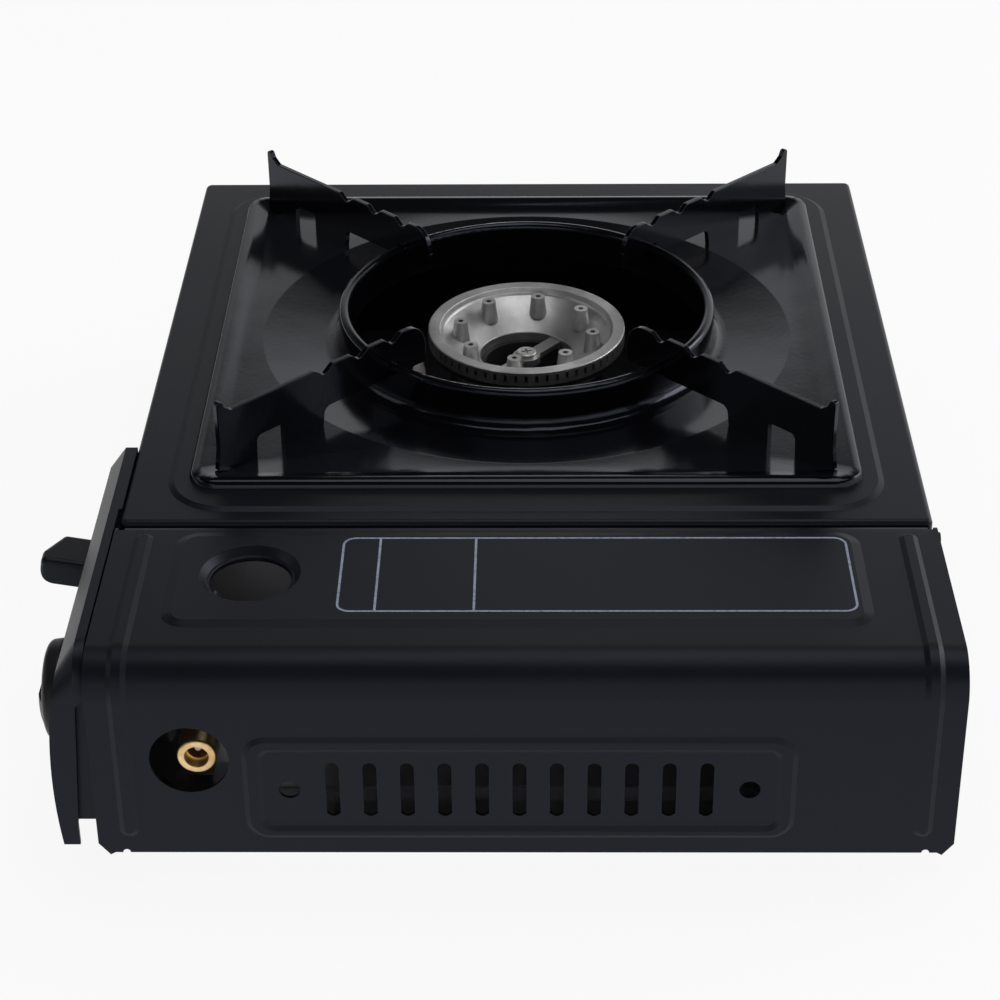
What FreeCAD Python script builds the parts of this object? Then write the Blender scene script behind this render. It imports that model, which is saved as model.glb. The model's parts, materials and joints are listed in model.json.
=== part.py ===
import FreeCAD, Part
import math
import os

Vec = FreeCAD.Vector

# Sheet and general fits
sheet = 1.0
thin_sheet = 0.8
running_clearance = 0.05
sliding_clearance = 0.2

# Reach of a cutting shape past the face it cuts, overlap of joined shapes, least run between arcs
past = 1.0
root = 0.1
least_run = 0.01
tolerance = 1e-6

# Small screws
screw_radius = 1.4
screw_head_radius = 3.0
screw_head_height = 1.6
screw_head_round = 0.35
screw_recess_width = 0.8
screw_recess_share = 0.6

# Body: deck, skirt and walls
body_length = 344.0
body_depth = 263.0
cover_length = 82.0
deck_top = 80.0
skirt_bottom = 10.7
deck_bend = 2.0
deck_corner = 2.5
skirt_lip = 9.0
cartridge_lip = 4.0
seam_flange = 8.0
wall_root = 4.0

# Plateau pressed up round the pan, and the opening under the pan
plateau_left_margin = 9.2
plateau_right_margin = 12.7
plateau_end_margin = 6.7
plateau_height = 0.9
plateau_slope = 2.0
plateau_corner = 20.0
least_pressed_corner = 0.6
deck_opening_lap = 8.0
deck_opening_corner = 16.0

# Cartridge cover
seam_gap = 0.6
cover_overhang = 0.6
cover_bend = 13.0
hinge_roll = 4.0
roll_end_gap = 0.6
cover_wall_gap = 0.5
cheek_depth = 12.0
cheek_corner = 6.0
hem_depth = 2.2
hem_notch_radius = 1.2
hem_notch_inset = 8.6
corner_nub_inset = 3.5
corner_nub_width = 1.6
corner_nub_drop = 0.9
corner_chamfer_height = 3.5
hinge_pin_radius = 1.5
hinge_ear_radius = 2.6
hinge_head_radius = 2.5
hinge_head_height = 0.9

# Beads pressed up along both ends of the cover
bead_inset = 9.5
bead_width = 6.0
bead_crest = 2.8
bead_height = 0.9
bead_start = 5.4
bead_low_end = 9.3
bead_root = 0.2

# Field pressed up for the label, with the dished hole in it
label_field_start = 1.6
label_field_end = 22.0
label_field_front = 20.0
label_field_rear = 25.0
label_field_height = 0.8
label_field_slope = 3.2
label_field_corner = 8.0
dish_inset = 51.0
dish_front = 45.5
dish_radius = 15.9
dish_hole_radius = 12.9
dish_depth = 2.4
dish_slope = 0.9
dish_seam = 0.4
dish_round = 0.6
dish_lip = 1.6
dish_lip_round = 0.5

# Framed vents in the cover's side
vent_frame_front = 45.6
vent_frame_rear = 49.0
vent_frame_foot = 5.8
vent_frame_depth = 38.5
vent_frame_width = 6.3
vent_frame_bottom_width = 4.7
vent_frame_top_width = 5.6
vent_frame_height = 0.9
vent_frame_slope = 1.6
vent_frame_corner = 7.5
vent_frame_inner_corner = 2.6
vent_count = 11
vent_pitch = 11.39
vent_width = 4.2
vent_length = 20.1
vent_drop = 9.8
vent_foot_width = 1.2
vent_foot_chamfer = 1.0
vent_end_hole_radius = 3.2
vent_end_hole_inset = 14.1

# Drip pan: rim, floor, round basin and the ring that the burner stands in
pan_side_room = 38.4
pan_end_room = 39.4
pan_corner = 9.5
pan_sheet = 1.0
rim_edge_lean = 0.3
rim_edge_height = 1.4
rim_crest_inset = 2.6
rim_crest_width = 1.6
rim_crest_round = 1.0
rim_crest_drop = 0.3
rim_height = 2.8
rim_foot_inset = 10.3
rim_foot_corner = 6.0
pan_floor_rise = 1.2
basin_margin = 14.8
basin_edge_round = 4.0
basin_edge = 1.0
basin_depth = 2.4
basin_floor_width = 5.3
basin_round = 8.0
ring_radius = 68.2
ring_wall = 4.2
ring_rise = 13.0
ring_inner_bottom = 0.5
ring_foot_fillet = 4.0

# Pot supports: blades on the pan's diagonals; radii are from the burner's middle
support_sheet = 2.0
support_angles = {"front_left": -135.0, "front_right": -45.0, "rear_left": 135.0, "rear_right": 45.0}
support_top = 23.3
support_edge_round = 0.3
horn_height = 27.7
horn_inset = 15.1
horn_tip_back = 1.0
horn_tip_front = 1.2
horn_tip_round = 1.1
horn_root_reach = 5.0
horn_root_round = 2.0
horn_neck_reach = 2.2
horn_neck_height = 25.4
horn_waist_reach = 0.8
horn_waist_height = 11.0
horn_waist_round = 20.0
outer_foot_inset = 13.1
outer_foot_length = 16.6
outer_foot_chamfer = 4.4
outer_foot_chamfer_height = 1.7
inner_foot_gap = 2.0
inner_foot_length = 17.3
window_height = 9.3
window_lean = 0.4
window_round = 0.8
window_outer_round = 2.2
arch_height = 8.3
arch_lean = 1.0
arch_round = 3.0
nose_radius = 50.5
nose_bottom = 8.0
nose_lip_height = 14.0
nose_lip_round = 4.0
nose_slope = 2.0
nose_rise = 0.2
nose_round = 7.5
nose_foot_lean = 0.5
nose_foot_round = 1.5
notch_radii = (97.5, 81.6, 66.2)
notch_half_width = 3.6
notch_lean = 0.4
notch_depth = 3.0
notch_round = 2.0
notch_edge_round = 1.5
ring_gap = 0.4
ring_rest = 0.1
support_tab_length = 8.0
support_tab_depth = 2.6
outer_tab_shift = 2.0

# Burner head
burner_rise = 2.5
burner_radius = 35.9
burner_rim_width = 4.4
burner_rim_round = 0.4
burner_top_ring = 1.3
burner_slot_height = 2.6
burner_bottom_ring = 1.4
burner_slot_count = 60
burner_slot_width = 1.1
burner_wall = 2.0
bowl_edge_drop = 2.5
bowl_edge_slope = 0.6
bowl_edge_round = 2.0
bowl_depth = 11.5
bowl_hole_radius = 17.0
bowl_hole_round = 0.6
bowl_neck = 3.0
post_count = 8
post_circle = 24.5
post_first_angle = 35.0
post_height = 8.0
post_top_radius = 2.5
post_foot_radius = 3.4
post_hole_radius = 0.95
post_hole_depth = 12.0

# Burner body, strap and screw
drum_radius = 28.0
drum_wall = 2.0
drum_depth = 31.0
drum_round = 3.0
drum_flare = 9.0
drum_lip_height = 2.0
drum_lip_width = 2.4
drum_lip_setback = 0.6
neck_lap = 0.4
strap_width = 5.0
strap_thickness = 2.0
strap_angle = -39.0
strap_boss_radius = 5.0
strap_boss_rise = 0.6
burner_screw_radius = 2.0
burner_screw_head_radius = 3.75
burner_screw_turn = 12.0

# Mixing tube, air shutter and brackets
mixing_tube_drop = 20.5
mixing_tube_radius = 9.0
mixing_tube_wall = 1.0
mouth_radius = 12.0
mouth_length = 8.0
mouth_round = 6.0
tube_boss_wall = 1.4
tube_boss_length = 4.0
air_port_radius = 3.2
air_port_inset = 7.0
shutter_length = 16.0
shutter_wall = 1.0
shutter_setback = 1.5
shutter_port_radius = 3.4
shutter_split = 1.2
bracket_width = 28.0
bracket_half_length = 39.0
bracket_sheet = 1.5
bracket_foot = 12.0
bracket_bend = 1.0
bracket_nut_radius = 4.0
bracket_nut_length = 3.0
bracket_screw_length = 3.2

# Injector and gas pipe
pipe_cross_gap = 9.0
injector_gap = 14.0
injector_setback = 26.0
injector_tip_length = 9.0
injector_tip_taper = 4.0
injector_tip_radius = 1.6
injector_jet_radius = 0.4
injector_channel_radius = 0.8
injector_channel_start = 2.0
injector_radius = 4.0
injector_hex = 10.0
injector_hex_length = 6.0
injector_bracket_width = 24.0
injector_bracket_foot = 12.0
injector_bracket_rise = 12.0
pipe_radius = 2.5
pipe_wall = 0.7
pipe_seat = 1.5
pipe_bend = 9.0
nut_across = 10.0
nut_length = 7.0
outlet_seat = 2.0

# Cartridge, regulator and knob share an axis along Y; depths are from the cartridge's front wall
valve_inset = 42.5
valve_height = 42.3
cartridge_radius = 33.5
regulator_radius = 17.0
regulator_round = 1.0
regulator_nose_radius = 12.0
regulator_flange_depth = 17.6
regulator_nose_depth = 34.6
socket_radius = 6.6
socket_depth = 9.0
boss_root = 8.0
cap_depth = 8.6
cap_seat_rise = 2.0
cap_seat_depth = 20.6
cap_front_gap = 0.2
regulator_cap_radius = 14.0
regulator_cap_thickness = 3.0
cap_dome_foot = 5.5
cap_dome_top = 4.0
cap_dome_height = 2.5
cap_screw_reach = 8.0
cap_screw_spread = 5.5
cap_screw_length = 7.0
cap_screw_head_radius = 2.4
cap_screw_head_height = 1.4
flange_screw_reach = 13.0
flange_screw_length = 7.0
flange_screw_head_radius = 2.2
flange_screw_head_height = 0.4
outlet_depth = 25.6
outlet_rise = 7.7
outlet_reach = 20.0
stem_radius = 3.0
stem_flat = 0.8
stem_flat_reach = 11.5
stem_hole_gap = 1.0

# Control knob: reaches are from the body's front face
knob_radius = 16.5
knob_reach = 21.6
knob_face_wall = 3.0
knob_draft = 0.6
knob_shoulder_depth = 2.6
knob_shoulder_round = 2.4
knob_crown_inset = 7.0
knob_crown_round = 6.0
knob_skirt_round = 0.8
knob_skirt_gap = 0.8
knob_grip_width = 8.0
knob_pocket_depth = 4.5
knob_pocket_rim = 2.6
knob_hub_radius = 5.6
knob_hub_reach = 11.0

# Brass inlet in the cover's side hole
inlet_depth = 29.9
inlet_rise = 4.0
inlet_radius = 6.05
inlet_length = 20.5
inlet_setback = 1.5
inlet_edge_round = 1.0
inlet_root_round = 0.4
inlet_groove = 9.0
inlet_groove_width = 2.6
inlet_groove_depth = 0.7
inlet_groove_slope = 0.6
inlet_mouth_radius = 3.7
inlet_mouth_depth = 4.2
inlet_mouth_round = 0.3
inlet_bore = 3.3
inlet_bore_depth = 12.0
inlet_core_radius = 1.25
inlet_core_reach = 7.5
inlet_core_round = 0.5
inlet_core_foot = 2.2
inlet_guide_length = 4.0
inlet_seal_height = 1.4
inlet_seal_gap = 0.35
inlet_boss_radius = 5.0
inlet_hole_shift = -2.1
inlet_hole_radius = 12.1

# Front panel: a bulging shell with its right end set back behind the cover's edge
panel_left_reach = 48.0
panel_right_setback = 4.0
panel_wall = 1.2
panel_flange = 4.0
panel_shoulder_reach = 10.0
panel_shoulder_drop = 8.0
panel_wall_lean = 0.4
panel_bulge_reach = 13.5
panel_bulge_z = 40.0
panel_foot_reach = 12.2
panel_bottom = 10.5
panel_slit = 8.4
panel_round_back = 15.0
panel_round_front = 7.5
panel_round_least = 2.0
end_strip_setback = 2.0
end_strip_bottom = 19.0
end_strip_drop = 14.0
end_strip_shoulder = 3.0
end_strip_top_reach = 4.0
end_strip_bottom_reach = 7.0
end_strip_joggle = 1.3
panel_boss_radius = 4.0
panel_screw_length = 7.0
panel_screw_left = 8.0
panel_screw_middle = 66.0
panel_screw_right = 22.0
panel_screw_low = 20.0
panel_screw_high = 66.0

# Lock lever and its guide
lever_inset = 22.0
lever_width = 17.0
lever_bottom = 53.0
lever_height = 9.0
lever_reach = 28.7
lever_tab_back = 13.9
lever_tab_low_end = 23.2
lever_tip_width = 6.0
lever_tip_round = 3.0
lever_round = 2.0
lever_under_round = 5.0
lever_tilt = 10.0
lever_neck_drop = 3.0
lever_travel = 12.0
lever_stop_gap = 0.5
lever_plate = 3.0
lever_neck_depth = 9.5
lever_plate_start = 5.5
lever_plate_end = 23.5
lever_plate_drop = 26.5
guide_half_width = 9.0
guide_sheet = 1.5
guide_rail_depth = 7.0
guide_margin = 3.0

# Cartridge carriage
carriage_travel = 6.0
carriage_pin_depth = 17.5
carriage_pin_drop = 23.0
carriage_pin_radius = 1.8
carriage_pin_overrun = 0.6
carriage_post_half = 3.5
carriage_post_sheet = 1.5
carriage_post_gap = 2.2
carriage_sheet = 0.8
carriage_strip_width = 12.0
carriage_rear_gap = 33.5
carriage_lug_height = 22.0
carriage_arm_depth = 19.5
carriage_arm_width = 12.0
carriage_arm_lift = 0.3
carriage_arm_margin = 1.5

# Piezo igniter and its cam
cam_base_radius = 6.5
cam_rise = 4.0
cam_turn = 120.0
cam_low_angle = -60.0
cam_reach = 9.5
cam_width = 5.5
cam_clearance = 0.5
cam_point_count = 12
piezo_gap = 13.5
piezo_length = 24.0
piezo_depth = 9.0
piezo_height = 10.0
piezo_round = 1.5
piezo_reach = 7.1
plunger_radius = 3.0
plunger_length = 17.0
plunger_end_gap = 0.5

# Ignition lead, its clips and the spark electrode
lead_radius = 1.3
lead_hole_gap = 0.7
lead_bend = 4.0
lead_gap = 8.0
lead_line_depth = 5.5
lead_line_drop = 10.0
lead_line_end = 35.0
lead_fall_depth = 39.5
lead_fall_z = 52.0
lead_low_gap = 22.3
lead_low_z = 27.0
clip_gaps = (64.0, 24.0)
clip_length = 8.0
clip_height = 6.0
clip_wall = 1.2
electrode_gap = 3.8
electrode_foot_drop = 5.5
electrode_top_drop = 14.5
electrode_radius = 2.6
electrode_taper = 4.0
electrode_round = 0.5
electrode_tip_wall = 0.8
electrode_wire_radius = 0.7
electrode_wire_bend = 1.5
electrode_wire_drop = 4.0
electrode_tip_reach = 3.5
electrode_tip_drop = 1.5
igniter_bracket_half = 6.0
igniter_bracket_reach = 3.0
igniter_bracket_drop = 12.5

# Floor, feet, heat shield and cradle
foot_radius = 9.0
foot_taper = 1.5
foot_edge_round = 1.0
foot_left_inset = 27.0
foot_left_end = 26.5
foot_right_inset = 30.0
foot_right_end = 14.0
foot_stem_radius = 3.0
foot_barb = 1.4
foot_barb_top = 0.4
foot_barb_height = 1.6
floor_screw_left = 52.0
floor_screw_middle = 21.0
floor_screw_seam = 30.0
floor_screw_length = 6.0
floor_edge_gap = 0.3
floor_end_flange = 8.0
floor_right_setback = 4.0
trough_clearance = 1.8
trough_front_gap = 23.5
trough_rear_gap = 25.5
partition_sheet = 0.8
partition_foot = 8.0
partition_foot_inset = 20.0
saddle_sheet = 1.2
saddle_height = 24.0
saddle_half_width = 29.5
saddle_foot = 8.0
saddle_gap = 0.5
saddle_opening_share = 0.6
saddle_places = (-60.0, 50.0)

# Body and cover, measured from the middle of the body
half_depth = body_depth / 2
front_face = -half_depth
left_x = -body_length / 2
right_x = body_length / 2
seam_x = right_x - cover_length
deck_length = seam_x - left_x
cover_left = seam_x + seam_gap
cover_half = half_depth + cover_overhang
hinge_x = cover_left + hinge_roll
hinge_z = deck_top - hinge_roll
side_wall = cover_half - sheet - cover_wall_gap - sheet
roll_half = side_wall - roll_end_gap
front_wall = front_face + sheet
floor_bottom = skirt_bottom + sheet
floor_top = floor_bottom + thin_sheet
floor_right = right_x - floor_right_setback
plateau_top = deck_top + plateau_height
screw_hole = screw_radius + running_clearance

# Pan and burner
pan_x = (left_x + seam_x) / 2
pan_half = min(deck_length - pan_side_room, body_depth - pan_end_room) / 2
pan_diagonal = pan_half * math.sqrt(2)
pan_floor_top = deck_top + pan_floor_rise
basin_radius = pan_half - basin_margin
basin_floor_top = pan_floor_top - basin_depth
ring_inner_radius = ring_radius - ring_wall
ring_top = deck_top + ring_rise
burner_top = deck_top + burner_rise
bowl_floor = burner_top - bowl_depth
neck_bottom = bowl_floor - bowl_neck
head_seat = burner_top - burner_top_ring - burner_slot_height - burner_bottom_ring
drum_bottom = burner_top - drum_depth
tube_z = burner_top - mixing_tube_drop
tube_start = pan_x + drum_radius - drum_wall
partition_x = seam_x - sheet
pipe_cross_x = partition_x - pipe_cross_gap
injector_x = pipe_cross_x - injector_setback
tube_end = injector_x - injector_gap

# Cartridge, regulator and inlet
valve_x = right_x - valve_inset
trough_radius = cartridge_radius + trough_clearance
cap_y = cap_depth - side_wall
cap_bottom = valve_height + regulator_radius + cap_seat_rise
flange_end = regulator_flange_depth - side_wall
nose_end = regulator_nose_depth - side_wall
outlet_y = outlet_depth - side_wall
outlet_z = valve_height + outlet_rise
inlet_y = inlet_depth - side_wall
inlet_z = valve_height + inlet_rise
inlet_end = right_x - inlet_setback
inlet_start = inlet_end - inlet_length
inlet_bore_floor = inlet_end - inlet_bore_depth

# Panel, knob, lever, carriage and igniter
panel_left = seam_x - panel_left_reach
panel_right = right_x - panel_right_setback
panel_bulge_y = front_face - panel_bulge_reach
panel_screw_places = ((panel_left + panel_screw_left, panel_screw_high),
                      (panel_left + panel_screw_left, panel_screw_low),
                      (right_x - panel_screw_middle, panel_screw_low),
                      (right_x - panel_screw_right, panel_screw_low))
knob_face = front_face - knob_reach
lever_left = seam_x - lever_inset
lever_right = lever_left + lever_width
lever_middle = (lever_left + lever_right) / 2
lever_tip = front_face - lever_reach
pin_y = front_face + carriage_pin_depth
pin_z = lever_bottom - carriage_pin_drop
arm_front = front_face + carriage_arm_depth
arm_rear = arm_front + carriage_arm_width
carriage_rear = half_depth - carriage_rear_gap
piezo_right = valve_x - piezo_gap
piezo_left = piezo_right - piezo_length
piezo_y = front_face - piezo_reach
plunger_tip = valve_x - cam_base_radius - cam_clearance
lead_x = piezo_left - lead_gap
lead_line_y = front_face + lead_line_depth
lead_line_z = deck_top - lead_line_drop
electrode_y = -burner_radius - electrode_gap

# Reach of the whole stove, which the frame is centred on
pin_end = cover_half + root
rear_reach = pin_end + hinge_head_height
side_reach = right_x + bead_height
origin_shift = Vec(-(side_reach + left_x) / 2, -(rear_reach + lever_tip) / 2, 0)


def plan(level):
    return lambda a, b: Vec(a, b, level)


def front(level):
    return lambda a, b: Vec(a, level, b)


def side(level):
    return lambda a, b: Vec(level, a, b)


def outline(corners, at):
    """Closed wire through corners (a, b) or (a, b, radius) on the plane given by at."""
    legs = []
    for index, corner in enumerate(corners):
        point = Vec(corner[0], corner[1], 0)
        if len(corner) < 3 or corner[2] <= 0:
            legs.append((point, None, point))
            continue
        back = corners[index - 1]
        ahead = corners[(index + 1) % len(corners)]
        before = (Vec(back[0], back[1], 0) - point).normalize()
        after = (Vec(ahead[0], ahead[1], 0) - point).normalize()
        half = before.getAngle(after) / 2
        middle = (before + after).normalize() * (corner[2] / math.sin(half) - corner[2])
        reach = corner[2] / math.tan(half)
        legs.append((point + before * reach, point + middle, point + after * reach))
    edges = []
    for index, (start, middle, end) in enumerate(legs):
        if middle:
            arc = Part.Arc(at(start.x, start.y), at(middle.x, middle.y), at(end.x, end.y))
            edges.append(arc.toShape())
        following = legs[(index + 1) % len(legs)][0]
        if (following - end).Length > tolerance:
            edges.append(Part.LineSegment(at(end.x, end.y), at(following.x, following.y)).toShape())
    return Part.Wire(edges)


def chain(start, steps, at):
    """Closed wire from start; a step is an end point, or an arc's middle and end."""
    here = at(*start)
    first = here
    edges = []
    for step in steps:
        there = at(*step[-2:])
        if len(step) == 4:
            edges.append(Part.Arc(here, at(*step[:2]), there).toShape())
        else:
            edges.append(Part.LineSegment(here, there).toShape())
        here = there
    if (here - first).Length > tolerance:
        edges.append(Part.LineSegment(here, first).toShape())
    return Part.Wire(edges)


def slab(corners, plane, level, depth):
    """An outline on a plane, given depth along the plane's own axis."""
    face = Part.Face(outline(corners, plane(level)))
    return face.extrude(plane(level + depth)(0, 0) - plane(level)(0, 0))


def rectangle(a0, a1, b0, b1, radius=0):
    return [(a0, b0, radius), (a1, b0, radius), (a1, b1, radius), (a0, b1, radius)]


def hexagon(across, a, b, turn):
    """Corners of a hexagon about a, b, with the first corner at an angle of turn."""
    reach = across / math.sqrt(3)
    angles = [math.radians(turn + 60 * index) for index in range(6)]
    return [(a + reach * math.cos(angle), b + reach * math.sin(angle)) for angle in angles]


def box(x0, x1, y0, y1, z0, z1):
    return Part.makeBox(x1 - x0, y1 - y0, z1 - z0, Vec(x0, y0, z0))


def rod(radius, start, end):
    return Part.makeCylinder(radius, (end - start).Length, start, end - start)


def rod_x(radius, y, z, x0, x1):
    return rod(radius, Vec(x0, y, z), Vec(x1, y, z))


def rod_y(radius, x, z, y0, y1):
    return rod(radius, Vec(x, y0, z), Vec(x, y1, z))


def rod_z(radius, x, y, z0, z1):
    return rod(radius, Vec(x, y, z0), Vec(x, y, z1))


def turned(profile, x, y):
    """Closed (radius, height) profile turned about a vertical line at x, y."""
    face = Part.Face(outline(profile, lambda a, b: Vec(x + a, y, b)))
    return face.revolve(Vec(x, y, 0), Vec(0, 0, 1), 360)


def turned_along_y(profile, x, z):
    """Closed (radius, y) profile turned about a line along Y at x, z."""
    face = Part.Face(outline(profile, lambda a, b: Vec(x + a, b, z)))
    return face.revolve(Vec(x, 0, z), Vec(0, 1, 0), 360)


def turned_along_x(profile, y, z):
    """Closed (radius, x) profile turned about a line along X at y, z."""
    face = Part.Face(outline(profile, lambda a, b: Vec(b, y + a, z)))
    return face.revolve(Vec(0, y, z), Vec(1, 0, 0), 360)


def pressed(low, high, radius, slope, plane, level, height):
    """Rounded rectangle that stands off a plane with sloping edges."""
    foot = rectangle(low[0], high[0], low[1], high[1], radius)
    corner = max(radius - slope, least_pressed_corner)
    crest = rectangle(low[0] + slope, high[0] - slope, low[1] + slope, high[1] - slope, corner)
    wires = [outline(foot, plane(level)), outline(crest, plane(level + height))]
    return Part.makeLoft(wires, True, True)


def swept(points, radius, bend):
    """Round bar along straight runs joined by arcs of radius bend."""
    edges = []
    here = points[0]
    for before, corner, after in zip(points, points[1:], points[2:]):
        back = (before - corner).normalize()
        ahead = (after - corner).normalize()
        half = back.getAngle(ahead) / 2
        reach = bend / math.tan(half)
        middle = corner + (back + ahead).normalize() * (bend / math.sin(half) - bend)
        edges.append(Part.LineSegment(here, corner + back * reach).toShape())
        edges.append(Part.Arc(corner + back * reach, middle, corner + ahead * reach).toShape())
        here = corner + ahead * reach
    edges.append(Part.LineSegment(here, points[-1]).toShape())
    path = Part.Wire(edges)
    ring = Part.Wire(Part.makeCircle(radius, points[0], points[1] - points[0]))
    bar = path.makePipeShell([ring], True, False)
    print("bar", round(bar.Volume / (math.pi * radius ** 2 * path.Length), 4), "of section times length")
    return bar


def top_edges(shape, level):
    return [edge for edge in shape.Edges if all(abs(v.Point.z - level) < tolerance for v in edge.Vertexes)]


def group(pieces):
    return Part.makeCompound(pieces)


def both_sides(shapes):
    """Shapes and their mirror images in the body's middle plane."""
    return shapes + [shape.mirror(Vec(0, 0, 0), Vec(0, 1, 0)) for shape in shapes]


def screw(place, direction, length, head=screw_head_radius, height=screw_head_height, shank=screw_radius):
    """Round-headed screw with a cross recess; place is the middle of the head's seat."""
    profile = [(0, -height), (head, -height, height * screw_head_round), (head, 0), (shank, 0),
               (shank, length), (0, length)]
    body = turned(profile, 0, 0)
    half = screw_recess_width / 2
    reach = head / 2
    depth = height * screw_recess_share
    bars = [box(-reach, reach, -half, half, -height - past, -height + depth),
            box(-half, half, -reach, reach, -height - past, -height + depth)]
    body = body.cut(bars[0].fuse(bars[1]))
    body.Placement = FreeCAD.Placement(place, FreeCAD.Rotation(Vec(0, 0, 1), Vec(direction)))
    return body


def deck_block(inset, bottom, top):
    """Solid block of the deck; inset takes it one sheet inside the outer faces."""
    corners = rectangle(left_x + inset, seam_x - inset, -half_depth + inset, half_depth - inset,
                        deck_corner - inset)
    block = slab(corners, plan, bottom, top - bottom)
    return block.makeFillet(deck_bend - inset, top_edges(block, top))


def plateau(level):
    half = pan_half + plateau_end_margin
    low = (pan_x - pan_half - plateau_left_margin, -half)
    high = (pan_x + pan_half + plateau_right_margin, half)
    return pressed(low, high, plateau_corner, plateau_slope, plan, level, plateau_height)


def cartridge_side_wall():
    """Rear wall beside the cartridge, with the ear that holds the hinge pin."""
    ear = hinge_ear_radius
    low = hinge_z - wall_root
    corners = [(seam_x - wall_root, skirt_bottom), (floor_right, skirt_bottom),
               (floor_right, hinge_z, cover_bend),
               (hinge_x + ear, hinge_z), (hinge_x - ear, hinge_z), (hinge_x - ear, low),
               (seam_x - wall_root, low)]
    wall = slab(corners, front, side_wall, sheet)
    return wall.fuse(rod_y(ear, hinge_x, hinge_z, side_wall, side_wall + sheet))


def skirt_lips():
    """Edges of the skirt turned inwards; the floor lies on them."""
    low = skirt_bottom
    high = skirt_bottom + sheet
    beside_deck = box(left_x + sheet, seam_x, side_wall - skirt_lip, half_depth - sheet / 2, low, high)
    beside_cartridge = box(seam_x - wall_root, floor_right, side_wall - cartridge_lip, side_wall + sheet / 2,
                           low, high)
    left = box(left_x + sheet / 2, left_x + skirt_lip, -side_wall, side_wall, low, high)
    return both_sides([beside_deck, beside_cartridge]) + [left]


def floor_screw_places():
    y = side_wall - skirt_lip / 2
    columns = (left_x + floor_screw_left, pan_x + floor_screw_middle, seam_x - floor_screw_seam)
    places = [(x, sign * y) for sign in (-1, 1) for x in columns]
    return places + [(left_x + (skirt_lip + sheet) / 2, 0.0)]


def flange_screw_places():
    return [(valve_x - flange_screw_reach, valve_height), (valve_x + flange_screw_reach, valve_height)]


def lever_opening(y0, y1):
    """Room for the lever's plate over its whole travel."""
    half = lever_plate / 2 + sliding_clearance
    return box(lever_middle - half, lever_middle + half, y0, y1,
               lever_bottom - lever_travel - lever_stop_gap, lever_bottom + lever_height + lever_stop_gap)


def front_wall_holes():
    """Holes in the body's front wall for what passes through it."""
    y0 = front_face - past
    y1 = -side_wall + past
    holes = [rod_y(screw_hole, x, z, y0, y1) for x, z in panel_screw_places + tuple(flange_screw_places())]
    holes.append(rod_y(knob_hub_radius + stem_hole_gap, valve_x, valve_height, y0, y1))
    holes.append(rod_y(lead_radius + lead_hole_gap, lead_x, lead_line_z, y0, y1))
    holes.append(lever_opening(y0, y1))
    return holes


def body_shell():
    shell = deck_block(0, skirt_bottom, deck_top)
    hollow = deck_block(sheet, skirt_bottom - past, deck_top - sheet)
    shell = shell.fuse(plateau(deck_top))
    shell = shell.cut(hollow.fuse(plateau(deck_top - sheet)))
    inner_half = half_depth - deck_bend
    shell = shell.cut(box(seam_x - sheet - root, seam_x + past, -inner_half, inner_half,
                          skirt_bottom - past, deck_top - seam_flange))
    shell = shell.multiFuse(both_sides([cartridge_side_wall()]) + skirt_lips())
    half = pan_half - deck_opening_lap
    opening = rectangle(pan_x - half, pan_x + half, -half, half, deck_opening_corner)
    cuts = [slab(opening, plan, deck_top - deck_bend - past, deck_bend + plateau_height + 2 * past)]
    cuts += both_sides([rod_y(hinge_pin_radius, hinge_x, hinge_z, side_wall - past,
                              side_wall + sheet + past)])
    cuts += front_wall_holes()
    for x, y in floor_screw_places():
        cuts.append(rod_z(screw_hole, x, y, skirt_bottom - past, floor_bottom + root))
    return shell.cut(group(cuts))


def foot_places():
    places = [(left_x + foot_left_inset, half_depth - foot_left_end),
              (right_x - foot_right_inset, half_depth - foot_right_end)]
    return [(x, sign * y) for x, y in places for sign in (-1, 1)]


def floor_trough(radius, wall):
    """Round-bottomed trough under the cartridge, as a solid of the outer or inner size."""
    return rod_y(radius, valve_x, valve_height, front_face + trough_front_gap - wall,
                 half_depth - trough_rear_gap + wall)


def base_plate():
    half = side_wall - floor_edge_gap
    plate = box(left_x + sheet + floor_edge_gap, floor_right, -half, half, floor_bottom, floor_top)
    end = box(floor_right - thin_sheet, floor_right, -half, half, floor_bottom, floor_top + floor_end_flange)
    below = box(seam_x, right_x, -half_depth, half_depth, 0, floor_top)
    trough = floor_trough(trough_radius + thin_sheet, thin_sheet).common(below)
    plate = plate.multiFuse([end, trough])
    cuts = [floor_trough(trough_radius, 0)]
    for x, y in foot_places():
        cuts.append(rod_z(foot_stem_radius, x, y, floor_bottom - past, floor_top + past))
    for x, y in floor_screw_places():
        cuts.append(rod_z(screw_hole, x, y, floor_bottom - past, floor_top + past))
    for x, y in bracket_screw_places():
        cuts.append(rod_z(screw_radius, x, y, floor_bottom - past, floor_top + past))
    return plate.cut(group(cuts))


def rubber_feet():
    stem = foot_stem_radius
    barb = floor_top + foot_barb_height
    profile = [(0, 0), (foot_radius, 0, foot_edge_round), (foot_radius - foot_taper, floor_bottom),
               (stem, floor_bottom), (stem, floor_top), (stem + foot_barb, floor_top),
               (stem + foot_barb_top, barb), (0, barb)]
    return group([turned(profile, x, y) for x, y in foot_places()])


def floor_screws():
    up = (0, 0, 1)
    return group([screw(Vec(x, y, skirt_bottom), up, floor_screw_length) for x, y in floor_screw_places()])


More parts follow.
